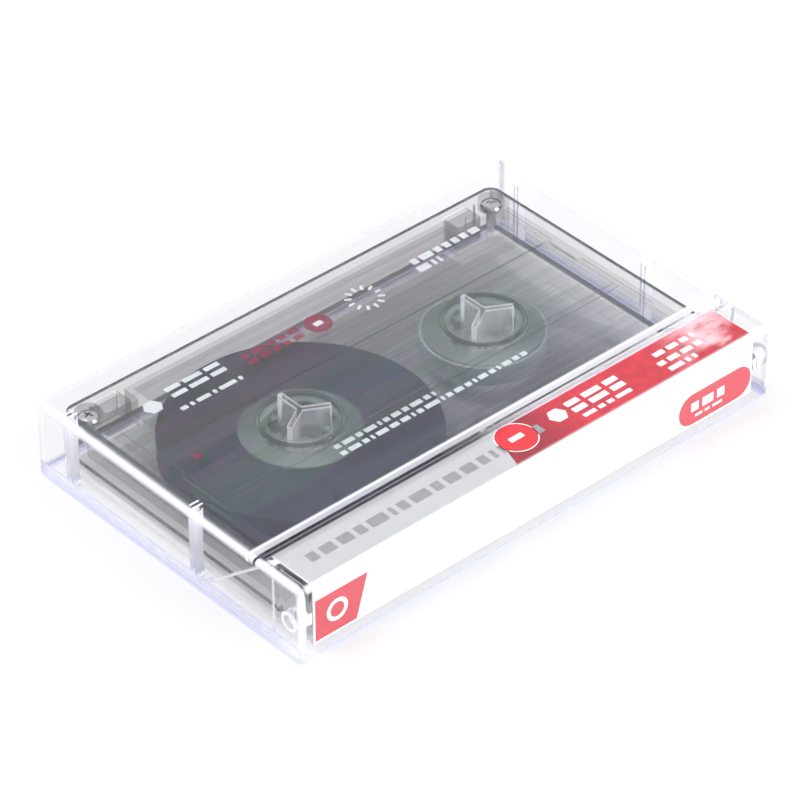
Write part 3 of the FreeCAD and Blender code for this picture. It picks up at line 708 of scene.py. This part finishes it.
@dataclass(frozen=True)
class Ink:
    """Printed ink: even, with slight mottle, and pale smoky patches where they are wanted."""

    name: str
    tone: Colour
    dark: Colour
    smoke: float = 0.0
    smoke_from: float = 33.0
    cover: float = 1.0

    def material(self) -> bpy.types.Material:
        """Builds the finish.

        Returns:
            The material.
        """
        tree = Tree(self.name)
        mottle = tree.noise((0.5, 0.5, 0.5), 4.0, 0.6, 2.0)
        tone = tree.blend(mottle.ramp(0.35, 0.65, 0.0, 0.5), self.tone, self.dark)
        if self.smoke:
            x, _, _ = tree.axes()
            sweep = tree.noise((0.07, 0.16, 0.1), 4.0, 0.6, 14.0)
            patches = sweep.ramp(0.44, 0.62) * x.ramp(self.smoke_from, self.smoke_from + 12.0) * self.smoke
            near_badge = 1.0 - x.ramp(2.0, 14.0)
            tone = tree.blend(patches, tree.blend(near_badge * 0.95, tone, self.dark), (0.78, 0.56, 0.6))
        inputs = {"Base Color": tone, "Roughness": mottle * 0.1 + 0.3, "Normal": tree.bump(mottle, 0.004, 0.5)}
        if self.cover < 1.0:
            inputs["Alpha"] = self.cover
        return tree.finish(tree.shader(inputs))


@dataclass(frozen=True)
class Metal:
    """Rolled, ground or plated metal with fine marks along one axis."""

    name: str
    tone: Colour
    shade: Colour
    roughness: float = 0.28
    marks: tuple[float, float, float] = (0.2, 4.0, 4.0)

    def material(self) -> bpy.types.Material:
        """Builds the finish.

        Returns:
            The material.
        """
        tree = Tree(self.name)
        lines = tree.noise(self.marks, 3.0, 0.65, 3.0)
        surface = tree.shader({
            "Base Color": tree.blend(lines.ramp(0.3, 0.7), self.tone, self.shade), "Metallic": 1.0,
            "Roughness": lines * 0.2 + self.roughness - 0.1, "Normal": tree.bump(lines, 0.01, 0.5),
        })
        return tree.finish(surface)


@dataclass(frozen=True)
class Felt:
    """Pressed wool felt of the pressure pad."""

    name: str = "pad_felt"
    tone: Colour = (0.62, 0.56, 0.45)

    def material(self) -> bpy.types.Material:
        """Builds the finish.

        Returns:
            The material.
        """
        tree = Tree(self.name)
        fibres = tree.noise((7.0, 2.5, 7.0), 5.0, 0.7, 1.0)
        surface = tree.shader({
            "Base Color": tree.blend(fibres.ramp(0.3, 0.7), self.tone, (0.75, 0.7, 0.6)), "Roughness": 0.95,
            "Sheen Weight": 0.4, "Normal": tree.bump(fibres, 0.12, 0.9),
        })
        return tree.finish(surface)


class Shape:
    """A mesh that is drawn in millimetres and becomes a piece."""

    def __init__(self) -> None:
        """Starts an empty mesh."""
        self.mesh = bmesh.new()

    def loop(self, points: Iterable[Sequence[float]]) -> list[bmesh.types.BMVert]:
        """Adds the vertices of one ring or outline.

        Args:
            points: Places in millimetres.

        Returns:
            The vertices.
        """
        return [self.mesh.verts.new(Vector(point) * MM) for point in points]

    def flat(self, points: Iterable[Sequence[float]]) -> None:
        """Adds one flat face through the points."""
        self.mesh.faces.new(self.loop(points))

    def skin(self, rings: Sequence[Sequence[Sequence[float]]], caps: bool = True, closed: bool = False) -> None:
        """Adds a surface through rings that have the same number of points.

        Args:
            rings: The rings, each a list of places.
            caps: Whether the first and last ring are closed by a face.
            closed: Whether the last ring joins the first.
        """
        loops = [self.loop(ring) for ring in rings]
        pairs = list(zip(loops, loops[1:]))
        if closed:
            pairs.append((loops[-1], loops[0]))
        for low, high in pairs:
            for number in range(len(low)):
                after = (number + 1) % len(low)
                self.mesh.faces.new((low[number], low[after], high[after], high[number]))
        if caps and not closed:
            self.mesh.faces.new(list(reversed(loops[0])))
            self.mesh.faces.new(loops[-1])

    def lathe(self, profile: Sequence[Point], centre: Sequence[float], steps: int = 64, closed: bool = False) -> None:
        """Turns a profile of radius and height round a vertical axis.

        Args:
            profile: Radius and height of each ring.
            centre: The axis's X and Y, and the height of profile zero.
            steps: Faces round the axis.
            closed: Whether the profile closes on itself, as on a ring.
        """
        angles = [2 * math.pi * number / steps for number in range(steps)]
        rings = [[(centre[0] + radius * math.cos(a), centre[1] + radius * math.sin(a), centre[2] + height)
                  for a in angles] for radius, height in profile]
        self.skin(rings, caps=not closed, closed=closed)

    def thing(self, name: str) -> bpy.types.Object:
        """Turns the drawn mesh into an object of the scene.

        Args:
            name: The object's name.

        Returns:
            The object.
        """
        bmesh.ops.recalc_face_normals(self.mesh, faces=self.mesh.faces)
        data = bpy.data.meshes.new(name)
        self.mesh.to_mesh(data)
        self.mesh.free()
        thing = bpy.data.objects.new(name, data)
        bpy.context.scene.collection.objects.link(thing)
        return thing

    def piece(self, name: str, body: Body, material: bpy.types.Material, slot: str,
              smooth: bool = True) -> bpy.types.Object:
        """Makes the piece and lets it ride.

        Args:
            name: The piece's name.
            body: The CAD body that carries it.
            material: Its finish.
            slot: The record's material slot; not used.
            smooth: Whether gentle angles are shaded smooth.

        Returns:
            The piece.
        """
        thing = self.thing(name)
        data = thing.data
        data.materials.append(material)
        if smooth:
            for face in data.polygons:
                face.use_smooth = True
            data.set_sharp_from_angle(angle=math.radians(32))
        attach(thing, body.value)
        log.info("piece %s: %d faces on %s", name, len(data.polygons), body.value)
        return thing


def box(left: float, front: float, right: float, back: float) -> list[Point]:
    """The corners of a rectangle, counter-clockwise."""
    return [(left, front), (right, front), (right, back), (left, back)]


def rounded(left: float, front: float, right: float, back: float, radius: float, steps: int = 6) -> list[Point]:
    """The outline of a rectangle with round corners.

    Args:
        left: Its left side.
        front: Its front side.
        right: Its right side.
        back: Its back side.
        radius: The corner radius.
        steps: Points in each corner.

    Returns:
        The outline, counter-clockwise.
    """
    centres = [(right - radius, back - radius), (left + radius, back - radius),
               (left + radius, front + radius), (right - radius, front + radius)]
    points = []
    for quarter, (x, y) in enumerate(centres):
        for step in range(steps + 1):
            angle = math.pi / 2 * (quarter + step / steps)
            points.append((x + radius * math.cos(angle), y + radius * math.sin(angle)))
    return points


def ring(x: float, y: float, radius: float, steps: int = 40) -> list[Point]:
    """The outline of a circle, counter-clockwise."""
    return [(x + radius * math.cos(2 * math.pi * k / steps), y + radius * math.sin(2 * math.pi * k / steps))
            for k in range(steps)]


def words(start: Point, step: Point, letters: str, height: float, pitch: float = 0.0) -> list[list[Point]]:
    """Plain bars in place of a line of print: one bar for each run in a pattern of long, short and gap.

    Args:
        start: The lower left corner.
        step: The direction of the line, of length one.
        letters: The pattern: a digit is a bar that many units long, and a dash a gap.
        height: The bars' height.
        pitch: The length of a unit; half the height where it isn't given.

    Returns:
        The outlines of the bars.
    """
    unit = pitch or height / 2
    up = (-step[1], step[0])
    outlines, along = [], 0.0
    for sign in letters:
        length = unit if sign == "-" else int(sign) * unit
        if sign != "-":
            corners = [(along, 0), (along + length, 0), (along + length, height), (along, height)]
            outlines.append([(start[0] + step[0] * u + up[0] * v, start[1] + step[1] * u + up[1] * v)
                             for u, v in corners])
        along += length
    return outlines


def print_marks(name: str, ink: bpy.types.Material, slot: str, outlines: Sequence[Sequence[Point]],
                lift: Callable[[float, float], Sequence[float]]) -> None:
    """Prints flat marks of one ink as a piece.

    Args:
        name: The piece's name.
        ink: The ink.
        slot: The record's material slot that is printed on.
        outlines: The marks' corners.
        lift: Gives a corner's place in space.
    """
    shape = Shape()
    for outline in outlines:
        shape.flat([lift(u, v) for u, v in outline])
    shape.piece(name, Body.BASE, ink, slot, smooth=False)


@dataclass
class Case:
    """The clear hinged case."""

    halves: tuple[str, ...] = ("case_holder", "case_lid")

    def dress(self, clear: bpy.types.Material) -> None:
        """Gives both halves of the case their finish.

        Args:
            clear: The clear finish.
        """
        for node in self.halves:
            dress(node, clear)


@dataclass
class InlayCard:
    """The folded card: floor panel, spine and top flap, with its print."""

    half: float = 50.75
    thickness: float = 0.24
    low: float = 1.53
    front: float = -33.51
    back: float = 31.4
    flap: float = -23.4
    top: float = 14.36
    fold: float = 0.55

    def section(self, inset: float) -> list[Point]:
        """The card's folded line in the Y-Z plane.

        Args:
            inset: 0 for the outside and the thickness for the inside.

        Returns:
            The line from the floor panel's back end to the flap's end.
        """
        front, low, top = self.front + inset, self.low + inset, self.top - inset
        radius = max(self.fold - inset, 0.1)
        line = [(self.back, low)]
        for quarter, (y, z) in enumerate(((front + radius, low + radius), (front + radius, top - radius))):
            for step in range(7):
                angle = math.pi * 1.5 - math.pi / 2 * (quarter + step / 6)
                line.append((y + radius * math.cos(angle), z + radius * math.sin(angle)))
        return line + [(self.flap, top)]

    def build(self, card: bpy.types.Material) -> None:
        """Builds the card in place of its CAD node.

        Args:
            card: The card's finish.
        """
        outline = self.section(0.0) + list(reversed(self.section(self.thickness)))
        columns = 24
        rings = []
        for number in range(columns + 1):
            x = -self.half + 2 * self.half * number / columns
            rings.append([(x, y, z) for y, z in outline])
        shape = Shape()
        shape.skin(rings, caps=False)
        for ends in (rings[0], rings[-1]):
            half = len(outline) // 2
            for number in range(half - 1):
                quad = [ends[number], ends[number + 1], ends[-number - 2], ends[-number - 1]]
                shape.flat(quad)
        bmesh.ops.remove_doubles(shape.mesh, verts=shape.mesh.verts, dist=1e-7)
        piece = shape.piece("folded_card", Body.BASE, card, "printed_card")
        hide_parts("inlay_card")

    def print_flap(self, inks: dict[str, bpy.types.Material]) -> None:
        """Prints the flap: a grey field, a red field, a badge and plain bars.

        Args:
            inks: The inks by name.
        """
        wide = (1.0, 0.0)
        end = self.flap - 0.15
        edge = self.front + self.fold
        left, right = -self.half + 0.1, self.half - 0.1
        lines = {
            "flap_grey_field": (inks["pale_grey"], 0.006, [[(left, edge), (-4.6, edge), (-1.6, end), (left, end)]]),
            "flap_red_field": (inks["red"], 0.006, [[(-4.6, edge), (right, edge), (right, end), (-1.6, end)]]),
            "flap_badge_rim": (inks["white"], 0.012, [ring(0.4, -27.2, 3.95)]),
            "flap_badge": (inks["bright_red"], 0.018, [ring(0.4, -27.2, 3.75)]),
            "flap_grey_bars": (inks["mid_grey"], 0.012,
                               words((-46.8, -29.1), wide, "2-3-12-2-13-1-2-31-2-12-3-2-1-2-21-3", 2.3, 0.95)),
            "flap_white_bars": (inks["white"], 0.024, words((-1.1, -27.8), wide, "3", 1.2, 1.0)
                                + [ring(9.8, -27.4, 1.9, 6)]
                                + words((12.6, -27.0), wide, "3-4-3", 1.3, 1.0)
                                + words((12.6, -29.0), wide, "3-4-3", 1.3, 1.0)
                                + words((13.0, -31.0), wide, "4-2-2-5", 0.9, 0.7)
                                + words((33.6, -27.0), wide, "3-21-2-1", 1.15, 0.8)
                                + words((32.4, -29.4), wide, "2-3-12-2", 1.15, 0.8)
                                + words((33.0, -31.6), wide, "22-1-1", 1.15, 0.8)),
        }
        for name, (ink, lift, outlines) in lines.items():
            print_marks(name, ink, "printed_card", outlines, lambda x, y: (x, y, self.top + lift))

    def print_spine(self, inks: dict[str, bpy.types.Material]) -> None:
        """Prints the spine: a red field at each end and plain bars.

        Args:
            inks: The inks by name.
        """
        wide = (1.0, 0.0)
        lozenge = rounded(33.0, 2.3, 50.6, 8.9, 3.2)
        lines = {
            "spine_left_field": (inks["spine_red"], 0.006,
                                 [[(-50.4, 2.3), (-41.4, 2.3), (-38.9, 10.9), (-50.4, 10.9)]]),
            "spine_right_field": (inks["spine_red"], 0.006, [lozenge]),
            "spine_white_bars": (inks["white"], 0.012,
                                 [ring(-45.6, 6.7, 2.3, 32)] + words((36.0, 5.0), wide, "2-3-2", 1.9, 0.9)
                                 + words((37.0, 3.6), wide, "3-2-4", 0.55, 0.6)),
            "spine_badge": (inks["spine_red"], 0.018, [ring(-45.6, 6.7, 1.5, 32)]),
        }
        for name, (ink, lift, outlines) in lines.items():
            print_marks(name, ink, "printed_card", outlines, lambda x, z: (x, self.front - lift, z))


@dataclass
class Cassette:
    """The cassette shell with its screws, liners and print."""

    end: float = 47.0
    back_row: float = 29.4
    front_row: float = -27.3
    middle_row: float = -20.5
    recess: float = 1.8

    def screw_spots(self) -> list[tuple[str, float, float, float]]:
        """Each screw's name, its place and the height of its seat.

        Returns:
            The five spots.
        """
        seat = FACE_Z - self.recess
        return [
            ("back_left", -self.end, self.back_row, seat), ("back_right", self.end, self.back_row, seat),
            ("front_left", -self.end, self.front_row, seat), ("front_right", self.end, self.front_row, seat),
            ("middle", 0.0, self.middle_row, HEAD_Z - self.recess),
        ]

    def build_screws(self, steel: bpy.types.Material) -> None:
        """Builds the five screws with crossed slots.

        Args:
            steel: The screws' finish.
        """
        for turn, (name, x, y, seat) in enumerate(self.screw_spots()):
            shape = Shape()
            profile = [(0.75, -5.0), (0.95, -4.4), (0.95, 0.0), (2.05, 0.0), (2.05, 0.55), (1.75, 0.95), (1.1, 1.18),
                       (0.02, 1.24)]
            shape.lathe(profile, (x, y, seat), 40)
            screw = shape.piece(f"screw_{name}", Body.BASE, steel, "pin_steel")
            self.cut_cross(screw, x, y, seat + 1.24, 0.35 + 0.5 * turn)

    @staticmethod
    def cut_cross(screw: bpy.types.Object, x: float, y: float, top: float, turn: float) -> None:
        """Cuts a crossed slot into a screw's head.

        Args:
            screw: The screw.
            x: The axis's X.
            y: The axis's Y.
            top: The height of the head's crown.
            turn: The slot's angle in radians.
        """
        arm, half, depth = 1.15, 0.2, 0.7
        corners = [(arm, -half), (arm, half), (half, half), (half, arm), (-half, arm), (-half, half), (-arm, half),
                   (-arm, -half), (-half, -half), (-half, -arm), (half, -arm), (half, -half)]
        across, along = math.cos(turn), math.sin(turn)
        cross = Shape()
        cross.skin([[(x + share * (u * across - v * along), y + share * (u * along + v * across), top + height)
                     for u, v in corners] for height, share in ((-depth, 0.55), (0.3, 1.0))])
        cutter = cross.thing("cross_cutter")
        cut = screw.modifiers.new("cross", "BOOLEAN")
        cut.operation = "DIFFERENCE"
        cut.object = cutter
        apply_modifiers(screw)
        bpy.data.objects.remove(cutter)

    def build_liners(self, film: bpy.types.Material) -> None:
        """Builds the two slip sheets in place of their CAD nodes.

        Args:
            film: The film's finish.
        """
        for name, low in (("upper", 10.72), ("lower", 4.77)):
            grid = Shape()
            self.fill_liner(grid, low)
            piece = grid.piece(f"slip_film_{name}", Body.BASE, film, "slip_sheet")
            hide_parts(f"slip_sheet_{name}")

    def fill_liner(self, shape: Shape, low: float) -> None:
        """Draws one slip sheet: an outline with two round holes, given a little thickness.

        Args:
            shape: The mesh to draw in.
            low: The height of its underside.
        """
        half = [(47.4, -16.3), (47.4, 25.3), (36.1, 25.3), (36.1, 30.5)]
        corners = half + [(-x, y) for x, y in reversed(half)]
        top = low + 0.09
        walls = [corners] + [ring(sign * HUB_X, HUB_Y, 7.7, 48) for sign in (-1, 1)]
        edges: dict[float, list[Any]] = {low: [], top: []}
        loops: dict[float, list[list[bmesh.types.BMVert]]] = {low: [], top: []}
        for level in (low, top):
            for wall in walls:
                points = shape.loop([(x, y, level) for x, y in wall])
                loops[level].append(points)
                for number in range(len(points)):
                    edges[level].append(shape.mesh.edges.new((points[number], points[(number + 1) % len(points)])))
            bmesh.ops.triangle_fill(shape.mesh, use_beauty=True, use_dissolve=False, edges=edges[level])
        for below, above in zip(loops[low], loops[top]):
            for number in range(len(below)):
                after = (number + 1) % len(below)
                shape.mesh.faces.new((below[number], below[after], above[after], above[number]))

    def build_collars(self, smoky: bpy.types.Material) -> None:
        """Builds the raised rims round the two hub holes.

        Args:
            smoky: The shell's finish.
        """
        for name, x in (("left", -HUB_X), ("right", HUB_X)):
            shape = Shape()
            profile = [(7.05, 0.0), (7.05, 0.2), (7.2, 0.36), (7.6, 0.36), (7.75, 0.2), (7.75, 0.0)]
            shape.lathe(profile, (x, HUB_Y, WINDOW_Z + 0.01), 96, closed=True)
            shape.piece(f"hub_rim_{name}", Body.BASE, smoky, "smoky_shell")

    def build_print(self, inks: dict[str, bpy.types.Material]) -> None:
        """Prints plain bars and rings on the shell's upper side.

        Args:
            inks: The inks by name.
        """
        face, pane = FACE_Z + 0.01, WINDOW_Z + 0.01
        wide = (1.0, 0.0)
        white_face = ([ring(-38.0, 22.9, 1.9, 6)] + words((-33.6, 24.4), wide, "4-5-4", 1.1, 0.8)
                      + words((-33.6, 22.4), wide, "4-5-4", 1.1, 0.8)
                      + words((-34.8, 18.6), wide, "2-1-22-1-23-1", 1.0, 0.72)
                      + words((23.0, 23.6), wide, "2-22-2-11-2-2-21", 1.6, 0.7)
                      + words((22.4, 21.2), wide, "22-1-1", 1.6, 0.7)
                      + self.tick_dial(9.9, 22.2))
        white_pane: list[list[Point]] = []
        for start, pattern, height in (((-22.2, -6.9), "2-22-2-31-1-2-12-2-31-2-1", 1.1),
                                       ((-22.7, -9.2), "2-22-2-1-22-3-12-1-2-23-1-2-21-2-1-3-2-1-21-2-2", 1.1)):
            target = white_face if start[1] < -7.5 else white_pane
            target += words(start, wide, pattern, height, 0.62)
        red_face = (words((-17.6, 22.6), wide, "2-13-2-2-12", 1.3, 0.75)
                    + words((-17.9, 20.6), wide, "3-12-2-2-21", 1.3, 0.75))
        lines = {
            "shell_white_marks": (inks["shell_white"], face, white_face),
            "window_white_marks": (inks["shell_white"], pane, white_pane),
            "shell_red_marks": (inks["shell_red"], face, red_face + [ring(-1.2, 22.0, 2.6)]),
            "shell_badge_mark": (inks["shell_white"], face + 0.006, words((-2.1, 21.4), wide, "3", 1.2, 0.6)),
            "side_mark": (inks["shell_red"], pane, [ring(-41.0, 7.6, 1.3, 3)]),
        }
        for name, (ink, z, outlines) in lines.items():
            print_marks(name, ink, "smoky_shell", outlines, lambda x, y: (x, y, z))

    @staticmethod
    def tick_dial(x: float, y: float) -> list[list[Point]]:
        """A plain ring of ticks in place of the printed figures.

        Args:
            x: Its middle's X.
            y: Its middle's Y.

        Returns:
            The ticks' outlines.
        """
        outlines = []
        for number in range(12):
            angle = 2 * math.pi * number / 12
            u, v = math.cos(angle), math.sin(angle)
            outlines.append([(x + u * r - v * w, y + v * r + u * w)
                             for r, w in ((2.4, -0.28), (3.7, -0.28), (3.7, 0.28), (2.4, 0.28))])
        return outlines


@dataclass
class PressureFelt:
    """The felt pad, with soft edges, on its spring."""

    length: float = 4.1
    front: float = -28.18
    back: float = -26.82
    half: float = 1.95

    def build(self, felt: bpy.types.Material) -> None:
        """Builds the pad in place of its CAD node.

        Args:
            felt: The pad's finish.
        """
        shape = Shape()
        steps = 7
        rings = []
        for number in range(steps):
            share = number / (steps - 1)
            y = self.front + (self.back - self.front) * share
            swell = 1.0 - 0.1 * abs(2 * share - 1) ** 2.5
            outline = rounded(-self.length / 2 * swell, -self.half * swell, self.length / 2 * swell,
                              self.half * swell, 0.45, 5)
            rings.append([(x, y, MIDDLE_Z + z) for x, z in outline])
        shape.skin(rings)
        piece = shape.piece("felt_pad", Body.PAD, felt, "pad_felt")
        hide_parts("pressure_pad")


@dataclass
class Studio:
    """Pale floor, soft light and the camera at the photograph's angle."""

    azimuth: float = -0.72953
    elevation: float = 0.65425
    roll: float = -0.00411
    distance: float = 802.37
    lens: float = 208.3
    shift: Point = (-0.0089, -0.0034)
    aim: tuple[float, float, float] = (0.0, 0.0, MIDDLE_Z)
    floor_half: float = 3000.0
    floor_gap: float = 0.1

    def build_floor(self) -> None:
        """Lays a pale floor that keeps the object's shadow."""
        shape = Shape()
        shape.flat([(x, y, -self.floor_gap) for x, y in box(*[side * self.floor_half for side in (-1, -1, 1, 1)])])
        floor = shape.thing("studio_floor")
        tree = Tree("studio_paper")
        grain = tree.noise((0.02, 0.02, 0.02), 2.0)
        paper = tree.shader({
            "Base Color": tree.blend(grain, (0.93, 0.92, 0.935), (0.91, 0.9, 0.92)), "Roughness": 0.9,
            "Specular IOR Level": 0.1,
        })
        glow = tree.out("ShaderNodeEmission", inputs={"Color": (1.0, 0.99, 1.0, 1.0), "Strength": 1.0})
        paths = tree.add("ShaderNodeLightPath")
        seen = Value(tree, paths.outputs["Is Camera Ray"]).most(Value(tree, paths.outputs["Is Transmission Ray"]))
        seen = seen.most(Value(tree, paths.outputs["Is Glossy Ray"]))
        floor.data.materials.append(tree.finish(tree.mixed(seen * 0.55, paper, glow)))

    def build_world(self) -> None:
        """Surrounds the scene with even, near-white light."""
        world = bpy.data.worlds.new("studio_air")
        bpy.context.scene.world = world
        world.use_nodes = True
        sky = world.node_tree.nodes["Background"]
        sky.inputs["Color"].default_value = (0.98, 0.98, 1.0, 1.0)
        sky.inputs["Strength"].default_value = 0.75

    def build_lamp(self, name: str, place: Sequence[float], size: float, power: float) -> None:
        """Hangs one soft square lamp that points at the object.

        Args:
            name: The lamp's name.
            place: Where it hangs, in metres.
            size: Its side in metres.
            power: Its power in watts.
        """
        light = bpy.data.lights.new(name, "AREA")
        light.size = size
        light.energy = power
        lamp = bpy.data.objects.new(name, light)
        lamp.location = place
        lamp.rotation_euler = (-Vector(place)).to_track_quat("-Z", "Y").to_euler()
        bpy.context.scene.collection.objects.link(lamp)

    def build_camera(self) -> None:
        """Sets the camera at the photograph's place and lens."""
        a, e, r = self.azimuth, self.elevation, self.roll
        back = Vector((math.sin(a) * math.cos(e), -math.cos(a) * math.cos(e), math.sin(e)))
        right = Vector((0, 0, 1)).cross(back).normalized()
        up = back.cross(right)
        across = right * math.cos(r) + up * math.sin(r)
        above = up * math.cos(r) - right * math.sin(r)
        data = bpy.data.cameras.new("photo_camera")
        data.lens = self.lens
        data.sensor_width = 36.0
        data.shift_x, data.shift_y = self.shift
        data.clip_start, data.clip_end = 0.05, 20.0
        camera = bpy.data.objects.new("photo_camera", data)
        turn = Matrix((across, above, back)).transposed().to_4x4()
        camera.matrix_world = Matrix.Translation((Vector(self.aim) + back * self.distance) * MM) @ turn
        bpy.context.scene.collection.objects.link(camera)
        bpy.context.scene.camera = camera

    def build(self) -> None:
        """Builds the floor, the world, the lamps and the camera."""
        self.build_floor()
        self.build_world()
        self.build_lamp("key_lamp", (-0.35, 0.35, 0.9), 0.6, 4.5)
        self.build_lamp("front_lamp", (0.35, -0.8, 0.35), 0.5, 4.6)
        self.build_camera()
        scene = bpy.context.scene
        scene.view_settings.view_transform = "Standard"
        scene.cycles.max_bounces = 24
        scene.cycles.transmission_bounces = 20
        scene.cycles.transparent_max_bounces = 32


def apply_modifiers(thing: bpy.types.Object) -> None:
    """Makes a piece's modifiers part of its mesh."""
    seen = thing.evaluated_get(bpy.context.evaluated_depsgraph_get())
    data = bpy.data.meshes.new_from_object(seen)
    thing.modifiers.clear()
    thing.data = data


def dress(node: str, material: bpy.types.Material) -> None:
    """Gives a CAD node a better finish.

    Args:
        node: The node's name.
        material: The finish.
    """
    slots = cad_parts[node].material_slots
    for number in range(len(slots)):
        slots[number].material = material
    log.info("node %s: %s", node, material.name)


def mix_inks() -> dict[str, bpy.types.Material]:
    """Mixes the card's and the shell's inks.

    Returns:
        The inks by name.
    """
    inks = [
        Ink("white", (0.93, 0.93, 0.94), (0.86, 0.86, 0.88)),
        Ink("pale_grey", (0.47, 0.475, 0.485), (0.43, 0.435, 0.445)),
        Ink("mid_grey", (0.27, 0.27, 0.28), (0.22, 0.22, 0.23)),
        Ink("red", (0.58, 0.02, 0.04), (0.27, 0.01, 0.025), smoke=0.9),
        Ink("bright_red", (0.66, 0.015, 0.03), (0.5, 0.01, 0.02)),
        Ink("spine_red", (0.6, 0.06, 0.08), (0.56, 0.05, 0.07)),
        Ink("shell_white", (0.6, 0.64, 0.66), (0.5, 0.53, 0.56), cover=0.85),
        Ink("shell_red", (0.22, 0.01, 0.04), (0.14, 0.01, 0.03), cover=0.8),
    ]
    return {ink.name: ink.material() for ink in inks}


def dress_works() -> None:
    """Dresses the reels, rollers, pins, tape, spring and shield."""
    hub = MouldedPlastic("hub_plastic", (0.36, 0.42, 0.4), (0.3, 0.36, 0.34), 0.3, 0.55, 0.2).material()
    roller = MouldedPlastic("roller_plastic", (0.75, 0.77, 0.76), (0.66, 0.68, 0.68)).material()
    supply = WoundTape().material()
    run = WoundTape("tape_run", 0.0, clear_from=-30.0).material()
    leader = MouldedPlastic("clear_leader", (0.55, 0.6, 0.6), (0.45, 0.5, 0.52), 0.2).material()
    steel = Metal("pin_steel", (0.72, 0.72, 0.74), (0.6, 0.6, 0.62), 0.2).material()
    bronze = Metal("spring_bronze", (0.75, 0.5, 0.27), (0.62, 0.38, 0.2)).material()
    shield = Metal("shield_metal", (0.5, 0.51, 0.53), (0.4, 0.41, 0.43), 0.35).material()
    for node in ("supply_hub", "take_up_hub", "supply_hub_clamp", "take_up_hub_clamp"):
        dress(node, hub)
    for node in ("guide_roller_left", "guide_roller_right"):
        dress(node, roller)
    for node in ("guide_pin_left", "guide_pin_right"):
        dress(node, steel)
    dress("supply_tape_pack", supply)
    dress("tape_run", run)
    dress("leader_turns", leader)
    dress("pressure_spring", bronze)
    dress("magnetic_shield", shield)
    Cassette().build_screws(steel)


def main() -> None:
    """Builds the whole scene, piece by piece."""
    logging.basicConfig(level=logging.INFO, format="%(message)s")
    inks = mix_inks()
    Case().dress(ClearMoulding().material())
    card = InlayCard()
    card.build(CardStock().material())
    card.print_flap(inks)
    card.print_spine(inks)
    smoky = SmokyMoulding().material()
    for node in ("shell_upper", "shell_lower"):
        dress(node, smoky)
    cassette = Cassette()
    cassette.build_liners(LinerFilm().material())
    cassette.build_collars(smoky)
    cassette.build_print(inks)
    dress_works()
    PressureFelt().build(Felt().material())
    Studio().build()


if __name__ == "__main__":
    main()
